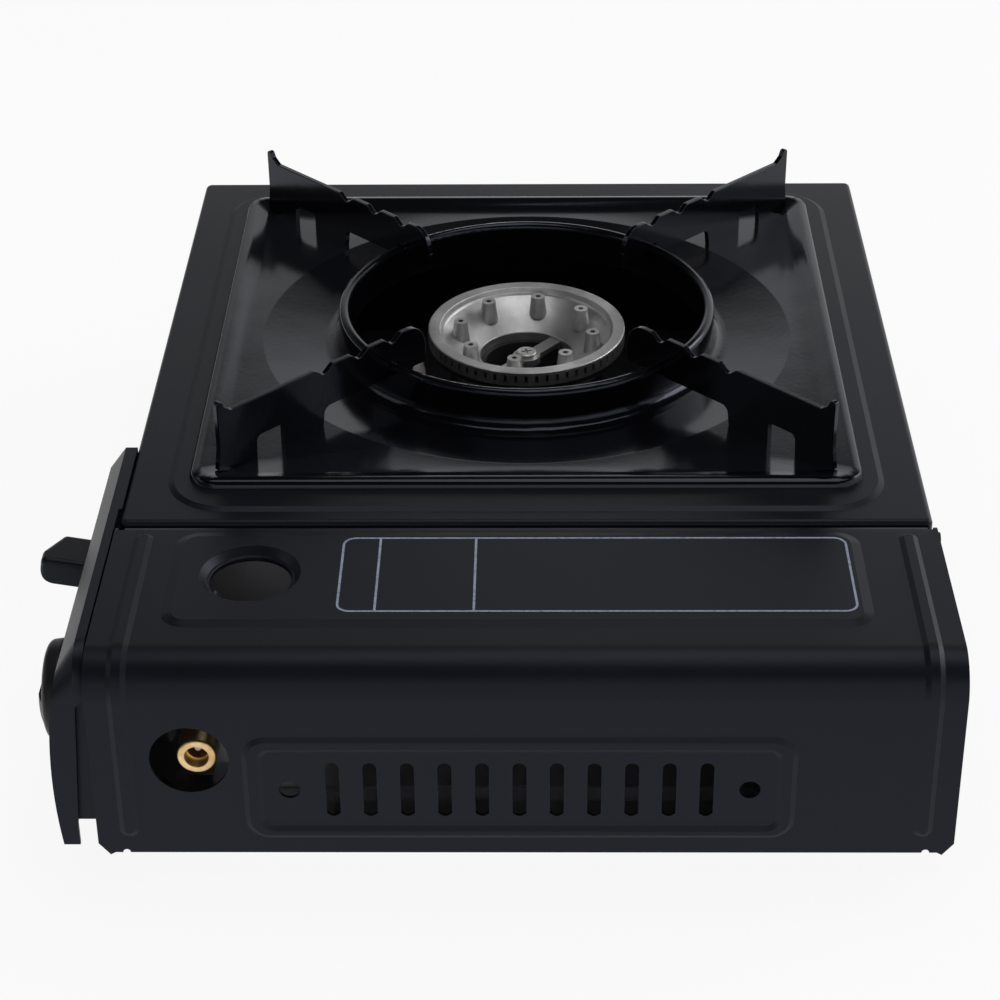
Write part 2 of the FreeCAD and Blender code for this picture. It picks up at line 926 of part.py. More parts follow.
def partition():
    """Heat shield between the burner and the cartridge."""
    x0 = partition_x - partition_sheet
    half = side_wall - floor_edge_gap
    wall = box(x0, partition_x, -half, half, floor_top, deck_top - sheet - deck_bend)
    foot = box(x0 - partition_foot, partition_x, -half + partition_foot_inset, half,
               floor_top, floor_top + partition_sheet)
    arm_gap = box(x0 - partition_foot - past, partition_x + past,
                  arm_front - carriage_travel - carriage_arm_margin, arm_rear + carriage_arm_margin,
                  floor_top - past, floor_top + carriage_arm_lift + carriage_sheet + carriage_arm_margin)
    pipe_gap = rod_x(pipe_radius + past, outlet_y, outlet_z, x0 - past, partition_x + past)
    return wall.fuse(foot).cut(arm_gap.fuse(pipe_gap))


def bend_middle(bend):
    """How far the middle of a quarter bend lies inside the corner."""
    return bend * (1 - math.sqrt(0.5))


def cover_profile(inset):
    """Section of the cover along X; inset moves it in from the outer faces."""
    roll = hinge_roll - inset
    top = deck_top - inset
    edge = right_x - inset
    bend = cover_bend - inset
    middle = bend_middle(bend)
    steps = [(hinge_x - roll, hinge_z, hinge_x, top),
             (edge - bend, top),
             (edge - middle, top - middle, edge, top - bend),
             (edge, skirt_bottom)]
    return (hinge_x, hinge_z - roll), steps


def cover_skin():
    start, steps = cover_profile(0)
    inner_start, inner_steps = cover_profile(sheet)
    points = [inner_start] + [step[-2:] for step in inner_steps]
    back = [points[-1]]
    for step, end in zip(reversed(inner_steps), reversed(points[:-1])):
        back.append(step[:2] + end if len(step) == 4 else end)
    face = Part.Face(chain(start, steps + back, front(-cover_half)))
    return face.extrude(Vec(0, 2 * cover_half, 0))


def cheek():
    """Turned-down edge at the rear end of the cover, with its hinge ear."""
    inner = cover_half - sheet
    low = deck_top - cheek_depth
    corners = [(hinge_x, hinge_z), (hinge_x, deck_top), (right_x, deck_top, cover_bend),
               (right_x, skirt_bottom), (right_x - cheek_depth, skirt_bottom),
               (right_x - cheek_depth, low, cheek_corner), (hinge_x + hinge_roll, low)]
    plate = slab(corners, front, inner, sheet)
    return plate.fuse(rod_y(hinge_roll, hinge_x, hinge_z, inner, cover_half))


def hem():
    """Bottom edge turned inwards between its two notches."""
    half = cover_half - hem_notch_inset
    return box(right_x - hem_depth, right_x - sheet / 2, -half, half, skirt_bottom, skirt_bottom + sheet)


def corner_nub():
    """Small tooth below the cover's rear bottom corner."""
    tip = cover_half - corner_nub_inset
    outer = tip + corner_nub_inset * corner_nub_drop / (corner_chamfer_height + corner_nub_drop)
    inner = tip - corner_nub_width
    high = skirt_bottom + root
    tooth = [(inner, high), (inner, skirt_bottom), (tip, skirt_bottom - corner_nub_drop),
             (outer, skirt_bottom), (outer, high)]
    return slab(tooth, side, right_x - sheet, sheet)


def bottom_corner():
    """What the cover's rear bottom corner loses: its chamfer and the hem's notch."""
    edge = cover_half + past
    rise = corner_chamfer_height + corner_nub_drop
    low = skirt_bottom - corner_nub_drop
    corner = [(edge, low - past), (cover_half - corner_nub_inset, low),
              (edge, low + rise * (corner_nub_inset + past) / corner_nub_inset)]
    x0 = right_x - cheek_depth - past
    chamfer = slab(corner, side, x0, cheek_depth + 2 * past)
    notch = rod_x(hem_notch_radius, cover_half - hem_notch_inset, skirt_bottom, x0, right_x + past)
    return chamfer.fuse(notch)


def bead(inset):
    """Raised bead that runs over the bend at the rear end; inset shifts it one sheet inwards."""
    y = half_depth - bead_inset
    top = deck_top - inset
    edge = right_x - inset
    bend = cover_bend - inset
    middle = bend_middle(bend)
    half = bead_width / 2
    crest = bead_crest / 2
    start = Vec(hinge_x + bead_start, y, top)
    end = Vec(edge, y, skirt_bottom + bead_low_end)
    path = Part.Wire([
        Part.LineSegment(start, Vec(edge - bend, y, top)).toShape(),
        Part.Arc(Vec(edge - bend, y, top), Vec(edge - middle, y, top - middle),
                 Vec(edge, y, top - bend)).toShape(),
        Part.LineSegment(Vec(edge, y, top - bend), end).toShape()])
    section = outline([(y - half, top - bead_root), (y - half, top), (y - crest, top + bead_height),
                       (y + crest, top + bead_height), (y + half, top), (y + half, top - bead_root)],
                      side(start.x))
    bar = path.makePipeShell([section], True, False)
    ends = [Part.makeCone(half, crest, bead_height, start, Vec(0, 0, 1)),
            Part.makeCone(half, crest, bead_height, end, Vec(1, 0, 0))]
    return bar.multiFuse(ends)


def label_field(level):
    low = (hinge_x + label_field_start, front_face + label_field_front)
    high = (right_x - label_field_end, half_depth - label_field_rear)
    return pressed(low, high, label_field_corner, label_field_slope, plan, level, label_field_height)


def vent_frame_box():
    """Front, rear, bottom and top of the vents' frame."""
    low = skirt_bottom + vent_frame_foot
    return front_face + vent_frame_front, half_depth - vent_frame_rear, low, low + vent_frame_depth


def vent_frame(level):
    y0, y1, z0, z1 = vent_frame_box()
    height = vent_frame_height
    slope = vent_frame_slope
    corner = vent_frame_inner_corner
    block = pressed((y0, z0), (y1, z1), vent_frame_corner, slope, side, level, height)
    y0 += vent_frame_width
    y1 -= vent_frame_width
    z0 += vent_frame_bottom_width
    z1 -= vent_frame_top_width
    foot = rectangle(y0, y1, z0, z1, corner)
    crest = rectangle(y0 - slope, y1 + slope, z0 - slope, z1 + slope, corner + slope)
    well = Part.makeLoft([outline(foot, side(level)), outline(crest, side(level + height))], True, True)
    return block.cut(well)


def vents():
    """Slots inside the frame, and the round hole at each end of their row."""
    y0, y1, z0, z1 = vent_frame_box()
    middle = (y0 + y1) / 2
    top = z1 - vent_drop
    bottom = top - vent_length
    half = vent_width / 2
    foot = vent_foot_width / 2
    chamfer = bottom + vent_foot_chamfer
    x0 = right_x - sheet - past
    x1 = right_x + vent_frame_height + past
    cuts = []
    for index in range(vent_count):
        y = middle + (index - (vent_count - 1) / 2) * vent_pitch
        slot = [(y - half, chamfer), (y - foot, bottom), (y + foot, bottom), (y + half, chamfer),
                (y + half, top, half - least_run), (y - half, top, half - least_run)]
        cuts.append(slab(slot, side, x0, x1 - x0))
    reach = (y1 - y0) / 2 - vent_end_hole_inset
    for y in (middle - reach, middle + reach):
        cuts.append(rod_x(vent_end_hole_radius, y, (top + bottom) / 2, x0, x1))
    return cuts


def dished_hole():
    """Sunken lip of the round hole in the label field."""
    top = deck_top + label_field_height
    low = top - dish_depth
    hole = dish_hole_radius
    return [(dish_radius + dish_seam, top - sheet), (dish_radius + dish_seam, top),
            (dish_radius, top, dish_round),
            (hole + dish_slope, low, dish_round), (hole, low, dish_lip_round), (hole, low - dish_lip),
            (hole + sheet, low - dish_lip), (hole + sheet, low - sheet),
            (dish_radius - dish_seam, top - sheet)]


def cartridge_cover():
    skin = cover_skin()
    x = right_x - dish_inset
    y = front_face + dish_front
    roll_end = box(cover_left - past, hinge_x, roll_half, cover_half + past, hinge_z - hinge_roll - past,
                   deck_top + past)
    skin = skin.cut(group(both_sides([roll_end])))
    skin = skin.multiFuse(both_sides([cheek(), corner_nub()]) + [hem()])
    skin = skin.multiFuse(both_sides([bead(0)]) + [label_field(deck_top), vent_frame(right_x)])
    for shape in both_sides([bead(sheet)]) + [label_field(deck_top - sheet), vent_frame(right_x - sheet)]:
        skin = skin.cut(shape)
    skin = skin.cut(rod_z(dish_radius, x, y, deck_top - sheet - past, deck_top + label_field_height + past))
    skin = skin.fuse(turned(dished_hole(), x, y))
    pin_hole = rod_y(hinge_pin_radius + running_clearance, hinge_x, hinge_z, cover_half - sheet - past,
                     cover_half + past)
    inlet_hole = rod_x(inlet_hole_radius, inlet_y + inlet_hole_shift, inlet_z, right_x - sheet - past,
                       right_x + past)
    return skin.cut(group(both_sides([pin_hole, bottom_corner()]) + [inlet_hole] + vents()))


def hinge_pins():
    inside = side_wall - hinge_head_height
    pin = rod_y(hinge_pin_radius, hinge_x, hinge_z, inside, pin_end)
    head = rod_y(hinge_head_radius, hinge_x, hinge_z, pin_end, rear_reach)
    collar = rod_y(hinge_head_radius, hinge_x, hinge_z, inside, side_wall)
    return group(both_sides([pin.multiFuse([head, collar])]))


def panel_profile(wall):
    """Section of the front panel; wall takes it inside the outer skin."""
    back = front_face - root
    high = deck_top - wall
    shoulder = (front_face - panel_shoulder_reach + wall,
                deck_top - panel_shoulder_drop - wall * panel_wall_lean)
    foot = (front_face - panel_foot_reach + wall, panel_bottom - wall)
    return [(back + wall, high), (back - panel_flange, high), shoulder,
            (panel_bulge_y + wall, panel_bulge_z), foot]


def panel_block(wall):
    """Solid block of the front panel, a wall's thickness inside its outer faces."""
    back, edge, shoulder, bulge, foot = panel_profile(wall)
    corners = (edge, shoulder, bulge + foot, (back[0], foot[1]))
    x0 = panel_left + wall
    x1 = panel_right - wall
    face = Part.Face(chain(back, corners, side(x0)))
    block = face.extrude(Vec(x1 - x0, 0, 0))
    far_y = panel_bulge_y - panel_round_least - past
    slope = panel_shoulder_drop / (edge[0] - shoulder[0])
    taper = (panel_round_back - panel_round_front) / (back[0] - shoulder[0])
    stations = []
    for y in (back[0] + past, edge[0], far_y):
        radius = max(panel_round_back - wall - taper * (back[0] - y), panel_round_least)
        stations.append((y, radius, deck_top - wall - slope * max(edge[0] - y, 0)))
    outside = wall + past
    cutters = []
    for pair in zip(stations, stations[1:]):
        wires = []
        for y, radius, top in pair:
            middle = bend_middle(radius)
            steps = [(x1 - middle, top - middle, x1, top - radius), (x1 + outside, top - radius),
                     (x1 + outside, top + outside), (x1 - radius, top + outside)]
            wires.append(chain((x1 - radius, top), steps, front(y)))
        cutters.append(Part.makeLoft(wires, True, True))
    return block.cut(group(cutters))


def panel_bosses():
    """Round bosses that the panel's screws go into, from the panel's skin to the wall."""
    room = panel_block(0).fuse(box(panel_left, panel_right, front_face - 2 * root, -side_wall, 0, deck_top))
    bosses = []
    for x, z in panel_screw_places:
        seat = front_face if x < seam_x else -side_wall - sheet
        bosses.append(rod_y(panel_boss_radius, x, z, panel_bulge_y, seat).common(room))
    return bosses


def front_panel():
    shell = panel_block(0).cut(panel_block(panel_wall))
    cheek_face = -cover_half - seam_gap
    x1 = panel_right - end_strip_setback
    high = deck_top - end_strip_drop
    low = end_strip_bottom
    under = panel_bottom - panel_wall - past
    top_y = front_face - end_strip_top_reach
    bottom_y = front_face - end_strip_bottom_reach
    w = end_strip_joggle
    slanted = slab([(cheek_face, high), (top_y, high - end_strip_shoulder), (bottom_y, low),
                    (bottom_y, under),
                    (cheek_face, under)], side, x1, end_strip_setback + past)
    strip = slab([(cheek_face, high), (top_y - w / 2, high), (bottom_y - w / 2, low), (cheek_face, low)],
                 side, x1 - panel_wall, panel_wall)
    joggle = slab([(top_y - root, high), (top_y - w, high), (bottom_y - w, low), (bottom_y - root, low)],
                  side, x1 - panel_wall, end_strip_setback + panel_wall / 2)
    shell = shell.cut(slanted).multiFuse([strip, joggle])
    below_strip = box(x1 - panel_wall, panel_right + past, bottom_y - root, front_face + past, under, low)
    beside_cover = box(seam_x - panel_slit, panel_right + past, cheek_face, front_face + past, under,
                       deck_top + past)
    shell = shell.cut(below_strip.fuse(beside_cover)).multiFuse(panel_bosses())
    y0 = panel_bulge_y - 2 * past
    y1 = panel_bulge_y + panel_wall + 3 * past
    cuts = [rod_y(knob_hub_radius + stem_hole_gap, valve_x, valve_height, y0, y1), lever_opening(y0, y1)]
    for x, z in panel_screw_places:
        cuts.append(rod_y(screw_radius, x, z, front_wall - panel_screw_length - past, -side_wall + past))
    return shell.cut(group(cuts))


def panel_screws():
    screws = []
    for x, z in panel_screw_places:
        seat = front_wall if x < seam_x else -side_wall
        screws.append(screw(Vec(x, seat, z), (0, -1, 0), panel_screw_length))
    return group(screws)


def pan_rim(inset):
    """Upper face of the pan's rim and floor as a solid; inset gives the under face."""
    low = plateau_top - inset
    edge = pan_half - inset
    corner = pan_corner - inset
    crest = pan_half - rim_crest_inset
    crest_corner = pan_corner - rim_crest_inset
    rounds = [(edge, low, corner),
              (edge - rim_edge_lean, low + rim_edge_height, corner),
              (crest + rim_crest_round - inset, low + rim_height - rim_crest_drop, crest_corner),
              (crest - rim_crest_width, low + rim_height, crest_corner - rim_crest_round),
              (pan_half - rim_foot_inset, pan_floor_top - inset, rim_foot_corner)]
    wires = []
    for half, level, radius in rounds:
        wires.append(outline(rectangle(pan_x - half, pan_x + half, -half, half, radius), plan(level)))
    return Part.makeLoft(wires, True, True)


def pan_ring():
    """Basin and raised ring, turned about the burner's middle."""
    wall = pan_sheet
    inner = ring_inner_radius
    roll = ring_wall / 2 - least_run
    foot = ring_radius + basin_floor_width
    low = deck_top - ring_inner_bottom
    return [(basin_radius, pan_floor_top - wall), (basin_radius, pan_floor_top),
            (basin_radius - basin_edge, pan_floor_top, basin_edge_round),
            (foot, basin_floor_top, basin_round),
            (ring_radius, basin_floor_top, ring_foot_fillet), (ring_radius, ring_top, roll),
            (inner, ring_top, roll),
            (inner, low), (inner + wall, low), (inner + wall, ring_top - wall, roll - wall),
            (ring_radius - wall, ring_top - wall, roll - wall),
            (ring_radius - wall, basin_floor_top - wall, ring_foot_fillet),
            (foot, basin_floor_top - wall, basin_round),
            (basin_radius - basin_edge, pan_floor_top - wall, basin_edge_round)]


def foot_radii():
    """Radii where a support's feet begin and end: inner start and end, outer start and end."""
    inner = basin_radius + inner_foot_gap
    outer = pan_diagonal - outer_foot_inset
    return inner, inner + inner_foot_length, outer - outer_foot_length, outer


def support_tab_middles():
    inner, inner_end, outer, outer_end = foot_radii()
    return (inner + inner_end) / 2, (outer + outer_end) / 2 - outer_tab_shift


def on_pan_diagonal(shape, angle):
    shape.rotate(Vec(0, 0, 0), Vec(0, 0, 1), angle)
    shape.translate(Vec(pan_x, 0, 0))
    return shape


def drip_pan():
    pan = pan_rim(0).cut(pan_rim(pan_sheet))
    pan = pan.cut(rod_z(basin_radius, pan_x, 0, deck_top - rim_height, deck_top + 2 * rim_height))
    pan = pan.fuse(turned(pan_ring(), pan_x, 0))
    half = support_tab_length / 2 + running_clearance
    width = support_sheet / 2 + running_clearance
    slots = []
    for angle in support_angles.values():
        for radius in support_tab_middles():
            slot = box(radius - half, radius + half, -width, width, pan_floor_top - pan_sheet - past,
                       pan_floor_top + past)
            slots.append(on_pan_diagonal(slot, angle))
    return pan.cut(group(slots))


def support_outline():
    """Side view of a blade: distance from the burner's middle, height above the ground."""
    top = deck_top + support_top
    foot = pan_floor_top
    window = deck_top + window_height
    arch = deck_top + arch_height
    under = deck_top + nose_bottom
    rim = ring_top + ring_rest
    low = foot - support_tab_depth
    tab = support_tab_length / 2
    inner, inner_end, outer, outer_end = foot_radii()
    inner_tab, outer_tab = support_tab_middles()
    horn = pan_diagonal - horn_inset
    tip = deck_top + horn_height
    corners = [(outer, foot), (outer_tab - tab, foot), (outer_tab - tab, low), (outer_tab + tab, low),
               (outer_tab + tab, foot), (outer_end - outer_foot_chamfer, foot),
               (outer_end, foot + outer_foot_chamfer_height),
               (horn + horn_waist_reach, deck_top + horn_waist_height, horn_waist_round),
               (horn + horn_tip_back, tip, horn_tip_round), (horn - horn_tip_front, tip, horn_tip_round),
               (horn - horn_neck_reach, deck_top + horn_neck_height, horn_root_round),
               (horn - horn_root_reach, top, horn_root_round)]
    for radius in notch_radii:
        corners += [(radius + notch_half_width, top, notch_edge_round),
                    (radius, top - notch_depth, notch_round),
                    (radius - notch_half_width - notch_lean, top, notch_edge_round)]
    corners += [(nose_radius + nose_slope, top + nose_rise, nose_round),
                (nose_radius, deck_top + nose_lip_height, nose_lip_round),
                (nose_radius + nose_foot_lean, under, nose_foot_round),
                (ring_inner_radius - ring_gap, under, window_round), (ring_inner_radius - ring_gap, rim),
                (ring_radius + ring_gap, rim), (ring_radius + ring_gap, arch, window_round),
                (inner - arch_lean, arch, arch_round), (inner, foot), (inner_tab - tab, foot),
                (inner_tab - tab, low), (inner_tab + tab, low), (inner_tab + tab, foot), (inner_end, foot),
                (inner_end, window, window_round), (outer - window_lean, window, window_outer_round)]
    return corners


def pot_support(angle):
    half = support_sheet / 2
    lowest = deck_top + support_top - notch_depth - past
    blade = slab(support_outline(), front, -half, support_sheet)
    edges = [edge for edge in blade.Edges
             if all(abs(abs(v.Point.y) - half) < tolerance and v.Point.z > lowest for v in edge.Vertexes)]
    return on_pan_diagonal(blade.makeFillet(support_edge_round, edges), angle)


def burner_head():
    """Cast ring with a bowl, side slots and posts, open underneath."""
    top = burner_top
    rim = burner_radius - burner_rim_width
    bowl = top - bowl_edge_drop
    wall = burner_wall
    neck = bowl_hole_radius + wall
    profile = [(bowl_hole_radius, bowl_floor, bowl_hole_round),
               (rim - bowl_edge_slope, bowl, bowl_edge_round),
               (rim, top, burner_rim_round), (burner_radius, top, burner_rim_round),
               (burner_radius, head_seat),
               (burner_radius - wall, head_seat), (burner_radius - wall, top - wall), (rim, top - wall),
               (rim - bowl_edge_slope, bowl - wall), (neck, bowl_floor - wall / 2), (neck, neck_bottom),
               (bowl_hole_radius, neck_bottom)]
    head = turned(profile, pan_x, 0)
    posts = []
    holes = []
    for index in range(post_count):
        angle = math.radians(post_first_angle + index * 360.0 / post_count)
        x = pan_x + post_circle * math.cos(angle)
        y = post_circle * math.sin(angle)
        posts.append(Part.makeCone(post_foot_radius, post_top_radius, post_height,
                                   Vec(x, y, top - post_height)))
        holes.append(rod_z(post_hole_radius, x, y, top - post_hole_depth, top + past))
    head = head.multiFuse(posts)
    slot_top = top - burner_top_ring
    slot = box(burner_radius - wall - past, burner_radius + past, -burner_slot_width / 2,
               burner_slot_width / 2,
               slot_top - burner_slot_height, slot_top)
    for index in range(burner_slot_count):
        cut = slot.copy()
        cut.rotate(Vec(0, 0, 0), Vec(0, 0, 1), index * 360.0 / burner_slot_count)
        cut.translate(Vec(pan_x, 0, 0))
        holes.append(cut)
    return head.cut(group(holes))


def burner_body():
    """Cup under the head: outer drum with a seat, and an open tube up its middle."""
    wall = drum_wall
    drum = drum_radius
    lip = burner_radius - drum_lip_setback
    flare = head_seat - drum_flare
    bore = bowl_hole_radius - wall
    tube = bowl_hole_radius + neck_lap
    profile = [(bore, drum_bottom), (drum, drum_bottom, drum_round), (drum, flare, drum_round),
               (lip, head_seat - drum_lip_height), (lip, head_seat), (lip - drum_lip_width, head_seat),
               (drum - wall, flare + wall / 2, drum_round), (drum - wall, drum_bottom + wall,
                                                             drum_round - wall),
               (tube, drum_bottom + wall), (tube, neck_bottom), (bore, neck_bottom)]
    body = turned(profile, pan_x, 0)
    end = pan_x + drum + tube_boss_length
    boss = rod_x(mixing_tube_radius + tube_boss_wall, 0, tube_z, pan_x + tube + wall, end)
    boss = boss.cut(rod_z(drum - wall / 2, pan_x, 0, drum_bottom - past, head_seat + past))
    hole = rod_x(mixing_tube_radius, 0, tube_z, pan_x + tube + wall, end + past)
    return body.fuse(boss).cut(hole)


def burner_strap():
    """Bar across the burner's central hole, held by one screw."""
    seat = neck_bottom
    high = seat + strap_thickness + strap_boss_rise
    reach = bowl_hole_radius - root
    bar = box(-reach, reach, -strap_width / 2, strap_width / 2, seat, seat + strap_thickness)
    bar = bar.common(rod_z(reach, 0, 0, seat, high))
    strap = bar.fuse(rod_z(strap_boss_radius, 0, 0, seat, high))
    strap = strap.cut(rod_z(burner_screw_radius + running_clearance, 0, 0, seat - past, high + past))
    strap.rotate(Vec(0, 0, 0), Vec(0, 0, 1), strap_angle)
    strap.translate(Vec(pan_x, 0, 0))
    return strap


def burner_nut_bottom():
    return drum_bottom - bracket_sheet - bracket_nut_length


def burner_screw():
    """Long screw from the strap down to the burner bracket."""
    seat = neck_bottom + strap_thickness + strap_boss_rise
    long_screw = screw(Vec(pan_x, 0, seat), (0, 0, -1), seat - burner_nut_bottom(),
                       head=burner_screw_head_radius, shank=burner_screw_radius)
    return long_screw.rotated(Vec(pan_x, 0, 0), Vec(0, 0, 1), burner_screw_turn)


def bracket_screw_places():
    x = bracket_half_length + bracket_foot / 2
    y = bracket_width / 4
    return [(pan_x + along, across) for along in (-x, x) for across in (-y, y)]


def burner_bracket():
    """Bridge that carries the burner on the floor."""
    t = bracket_sheet
    left = pan_x - bracket_half_length
    right = pan_x + bracket_half_length
    foot = bracket_foot
    high = drum_bottom
    low = floor_top
    bend = bracket_bend
    path = [(left - foot, low), (left - foot, low + t), (left, low + t), (left, high, bend + t),
            (right, high, bend + t), (right, low + t), (right + foot, low + t), (right + foot, low),
            (right - t, low), (right - t, high - t, bend), (left + t, high - t, bend), (left + t, low)]
    bracket = slab(path, front, -bracket_width / 2, bracket_width)
    nut_bottom = burner_nut_bottom()
    nut = rod_z(bracket_nut_radius, pan_x, 0, nut_bottom, high - t)
    cuts = [rod_z(burner_screw_radius, pan_x, 0, nut_bottom - past, high + past)]
    for x, y in bracket_screw_places():
        cuts.append(rod_z(screw_hole, x, y, low - past, low + t + past))
    return bracket.fuse(nut).cut(group(cuts))


def bracket_screws():
    seat = floor_top + bracket_sheet
    down = (0, 0, -1)
    return group([screw(Vec(x, y, seat), down, bracket_screw_length) for x, y in bracket_screw_places()])


def air_port_x():
    return tube_end - mouth_length - air_port_inset


def mixing_tube():
    """Tube that takes gas and air to the burner, flared at its open end."""
    outer = mixing_tube_radius
    wall = mixing_tube_wall
    neck = tube_end - mouth_length
    profile = [(outer - wall, tube_start), (outer, tube_start), (outer, neck, mouth_round),
               (mouth_radius, tube_end),
               (mouth_radius - wall, tube_end), (outer - wall, neck, mouth_round)]
    tube = turned_along_x(profile, 0, tube_z)
    x = air_port_x()
    upright = rod_z(air_port_radius, x, 0, tube_z - mouth_radius, tube_z + mouth_radius)
    across = rod_y(air_port_radius, x, tube_z, -mouth_radius, mouth_radius)
    return tube.cut(upright.fuse(across))


def air_shutter():
    """Split sleeve that sets how far the tube's air ports are open."""
    end = tube_end - mouth_length - shutter_setback
    start = end - shutter_length
    inner = mixing_tube_radius + running_clearance
    outer = inner + shutter_wall
    sleeve = rod_x(outer, 0, tube_z, start, end).cut(rod_x(inner, 0, tube_z, start - past, end + past))
    x = air_port_x()
    windows = [rod_y(shutter_port_radius, x, tube_z, -outer - past, outer + past),
               rod_z(shutter_port_radius, x, 0, tube_z, tube_z + outer + past),
               box(start - past, end + past, -shutter_split / 2, shutter_split / 2, tube_z - outer - past,
                   tube_z)]
    return sleeve.cut(group(windows))


def injector_bracket():
    x = injector_x
    t = bracket_sheet
    low = floor_top
    high = tube_z + injector_bracket_rise
    foot = x + injector_bracket_foot
    path = [(x, low), (foot, low), (foot, low + t), (x + t, low + t), (x + t, high), (x, high)]
    plate = slab(path, front, -injector_bracket_width / 2, injector_bracket_width)
    return plate.cut(rod_x(injector_radius, 0, tube_z, x - past, x + t + past))


def injector_nozzle():
    """Brass jet screwed through its bracket, with a hexagon behind it."""
    r = injector_radius
    seat = injector_x + bracket_sheet
    tip = injector_x - injector_tip_length
    profile = [(injector_jet_radius, tip), (injector_tip_radius, tip), (r, tip + injector_tip_taper),
               (r, seat + root), (injector_jet_radius, seat + root)]
    jet = turned_along_x(profile, 0, tube_z)
    nut = slab(hexagon(injector_hex, 0, tube_z, 0), side, seat, injector_hex_length)
    bore = rod_x(pipe_radius, 0, tube_z, seat + pipe_seat, seat + injector_hex_length + past)
    channel = rod_x(injector_channel_radius, 0, tube_z, tip + injector_channel_start, seat + pipe_seat + past)
    return jet.fuse(nut).cut(bore.fuse(channel))


def gas_pipe():
    """Thin pipe from the regulator, through the heat shield, to the injector."""
    points = [Vec(valve_x - outlet_reach + outlet_seat, outlet_y, outlet_z),
              Vec(pipe_cross_x, outlet_y, outlet_z),
              Vec(pipe_cross_x, 0, tube_z), Vec(injector_x + bracket_sheet + pipe_seat, 0, tube_z)]
    return swept(points, pipe_radius, pipe_bend).cut(swept(points, pipe_radius - pipe_wall, pipe_bend))


def pipe_nut(x, y, z):
    nut = slab(hexagon(nut_across, y, z, 30), side, x, nut_length)
    return nut.cut(rod_x(pipe_radius, y, z, x - past, x + nut_length + past))


def pipe_nuts():
    return group([pipe_nut(valve_x - outlet_reach - nut_length, outlet_y, outlet_z),
                  pipe_nut(injector_x + bracket_sheet + injector_hex_length, 0, tube_z)])


def cap_room(front_y):
    """Room over the regulator that its cap and the cap's seat stay within."""
    return box(valve_x - regulator_radius, valve_x + regulator_radius, front_y, cap_seat_depth - side_wall,
               0, deck_top)


def cap_screw_places():
    return [(valve_x + x, cap_y + y) for x in (-cap_screw_reach, cap_screw_reach)
            for y in (-cap_screw_spread, cap_screw_spread)]


def regulator_body():
    """Die-cast pressure regulator: a flange at the front wall and a nose for the cartridge."""
    wall = -side_wall
    core = stem_radius + running_clearance
    floor = nose_end - socket_depth
    bend = regulator_round
    profile = [(core, wall), (regulator_radius, wall, bend), (regulator_radius, flange_end, bend),
               (regulator_nose_radius, flange_end, bend), (regulator_nose_radius, nose_end, bend),
               (socket_radius, nose_end), (socket_radius, floor), (core, floor)]
    body = turned_along_y(profile, valve_x, valve_height)
    outlet = rod_x(nut_across / 2, outlet_y, outlet_z, valve_x - outlet_reach, valve_x - boss_root)
    inlet = rod_x(inlet_boss_radius, inlet_y, inlet_z, valve_x + boss_root, inlet_start)
    cap_seat = rod_z(regulator_cap_radius, valve_x, cap_y, valve_height, cap_bottom).common(cap_room(wall))
    body = body.multiFuse([outlet, inlet, cap_seat])
    cuts = [rod_y(socket_radius, valve_x, valve_height, floor, nose_end),
            rod_y(core, valve_x, valve_height, wall - past, floor),
            rod_x(pipe_radius, outlet_y, outlet_z, valve_x - outlet_reach - past,
                  valve_x - outlet_reach + outlet_seat)]
    for x, y in cap_screw_places():
        cuts.append(rod_z(screw_radius, x, y, cap_bottom - cap_screw_length + regulator_cap_thickness - past,
                          cap_bottom + past))
    for x, z in flange_screw_places():
        cuts.append(rod_y(screw_radius, x, z, wall - past, wall + flange_screw_length))
    return body.cut(group(cuts))


def regulator_cap():
    """Cover over the diaphragm, on top of the regulator."""
    high = cap_bottom + regulator_cap_thickness
    cap = rod_z(regulator_cap_radius, valve_x, cap_y, cap_bottom,
                high).common(cap_room(cap_front_gap - side_wall))
    dome = Part.makeCone(cap_dome_foot, cap_dome_top, cap_dome_height, Vec(valve_x, cap_y, high))
    cuts = [rod_z(screw_hole, x, y, cap_bottom - past, high + past) for x, y in cap_screw_places()]
    return cap.fuse(dome).cut(group(cuts))


def regulator_screws():
    seat = cap_bottom + regulator_cap_thickness
    screws = [screw(Vec(x, y, seat), (0, 0, -1), cap_screw_length, cap_screw_head_radius,
                    cap_screw_head_height)
              for x, y in cap_screw_places()]
    for x, z in flange_screw_places():
        screws.append(screw(Vec(x, -side_wall - sheet, z), (0, 1, 0), flange_screw_length,
                            flange_screw_head_radius, flange_screw_head_height))
    return group(screws)


def valve_stem():
    """Spindle that the knob and the ignition cam turn with."""
    shaft = rod_y(stem_radius, valve_x, valve_height, knob_face + knob_face_wall, flange_end)
    flat = box(valve_x + stem_radius - stem_flat, valve_x + stem_radius + past, knob_face,
               front_face - stem_flat_reach, valve_height - stem_radius, valve_height + stem_radius)
    return shaft.cut(flat)


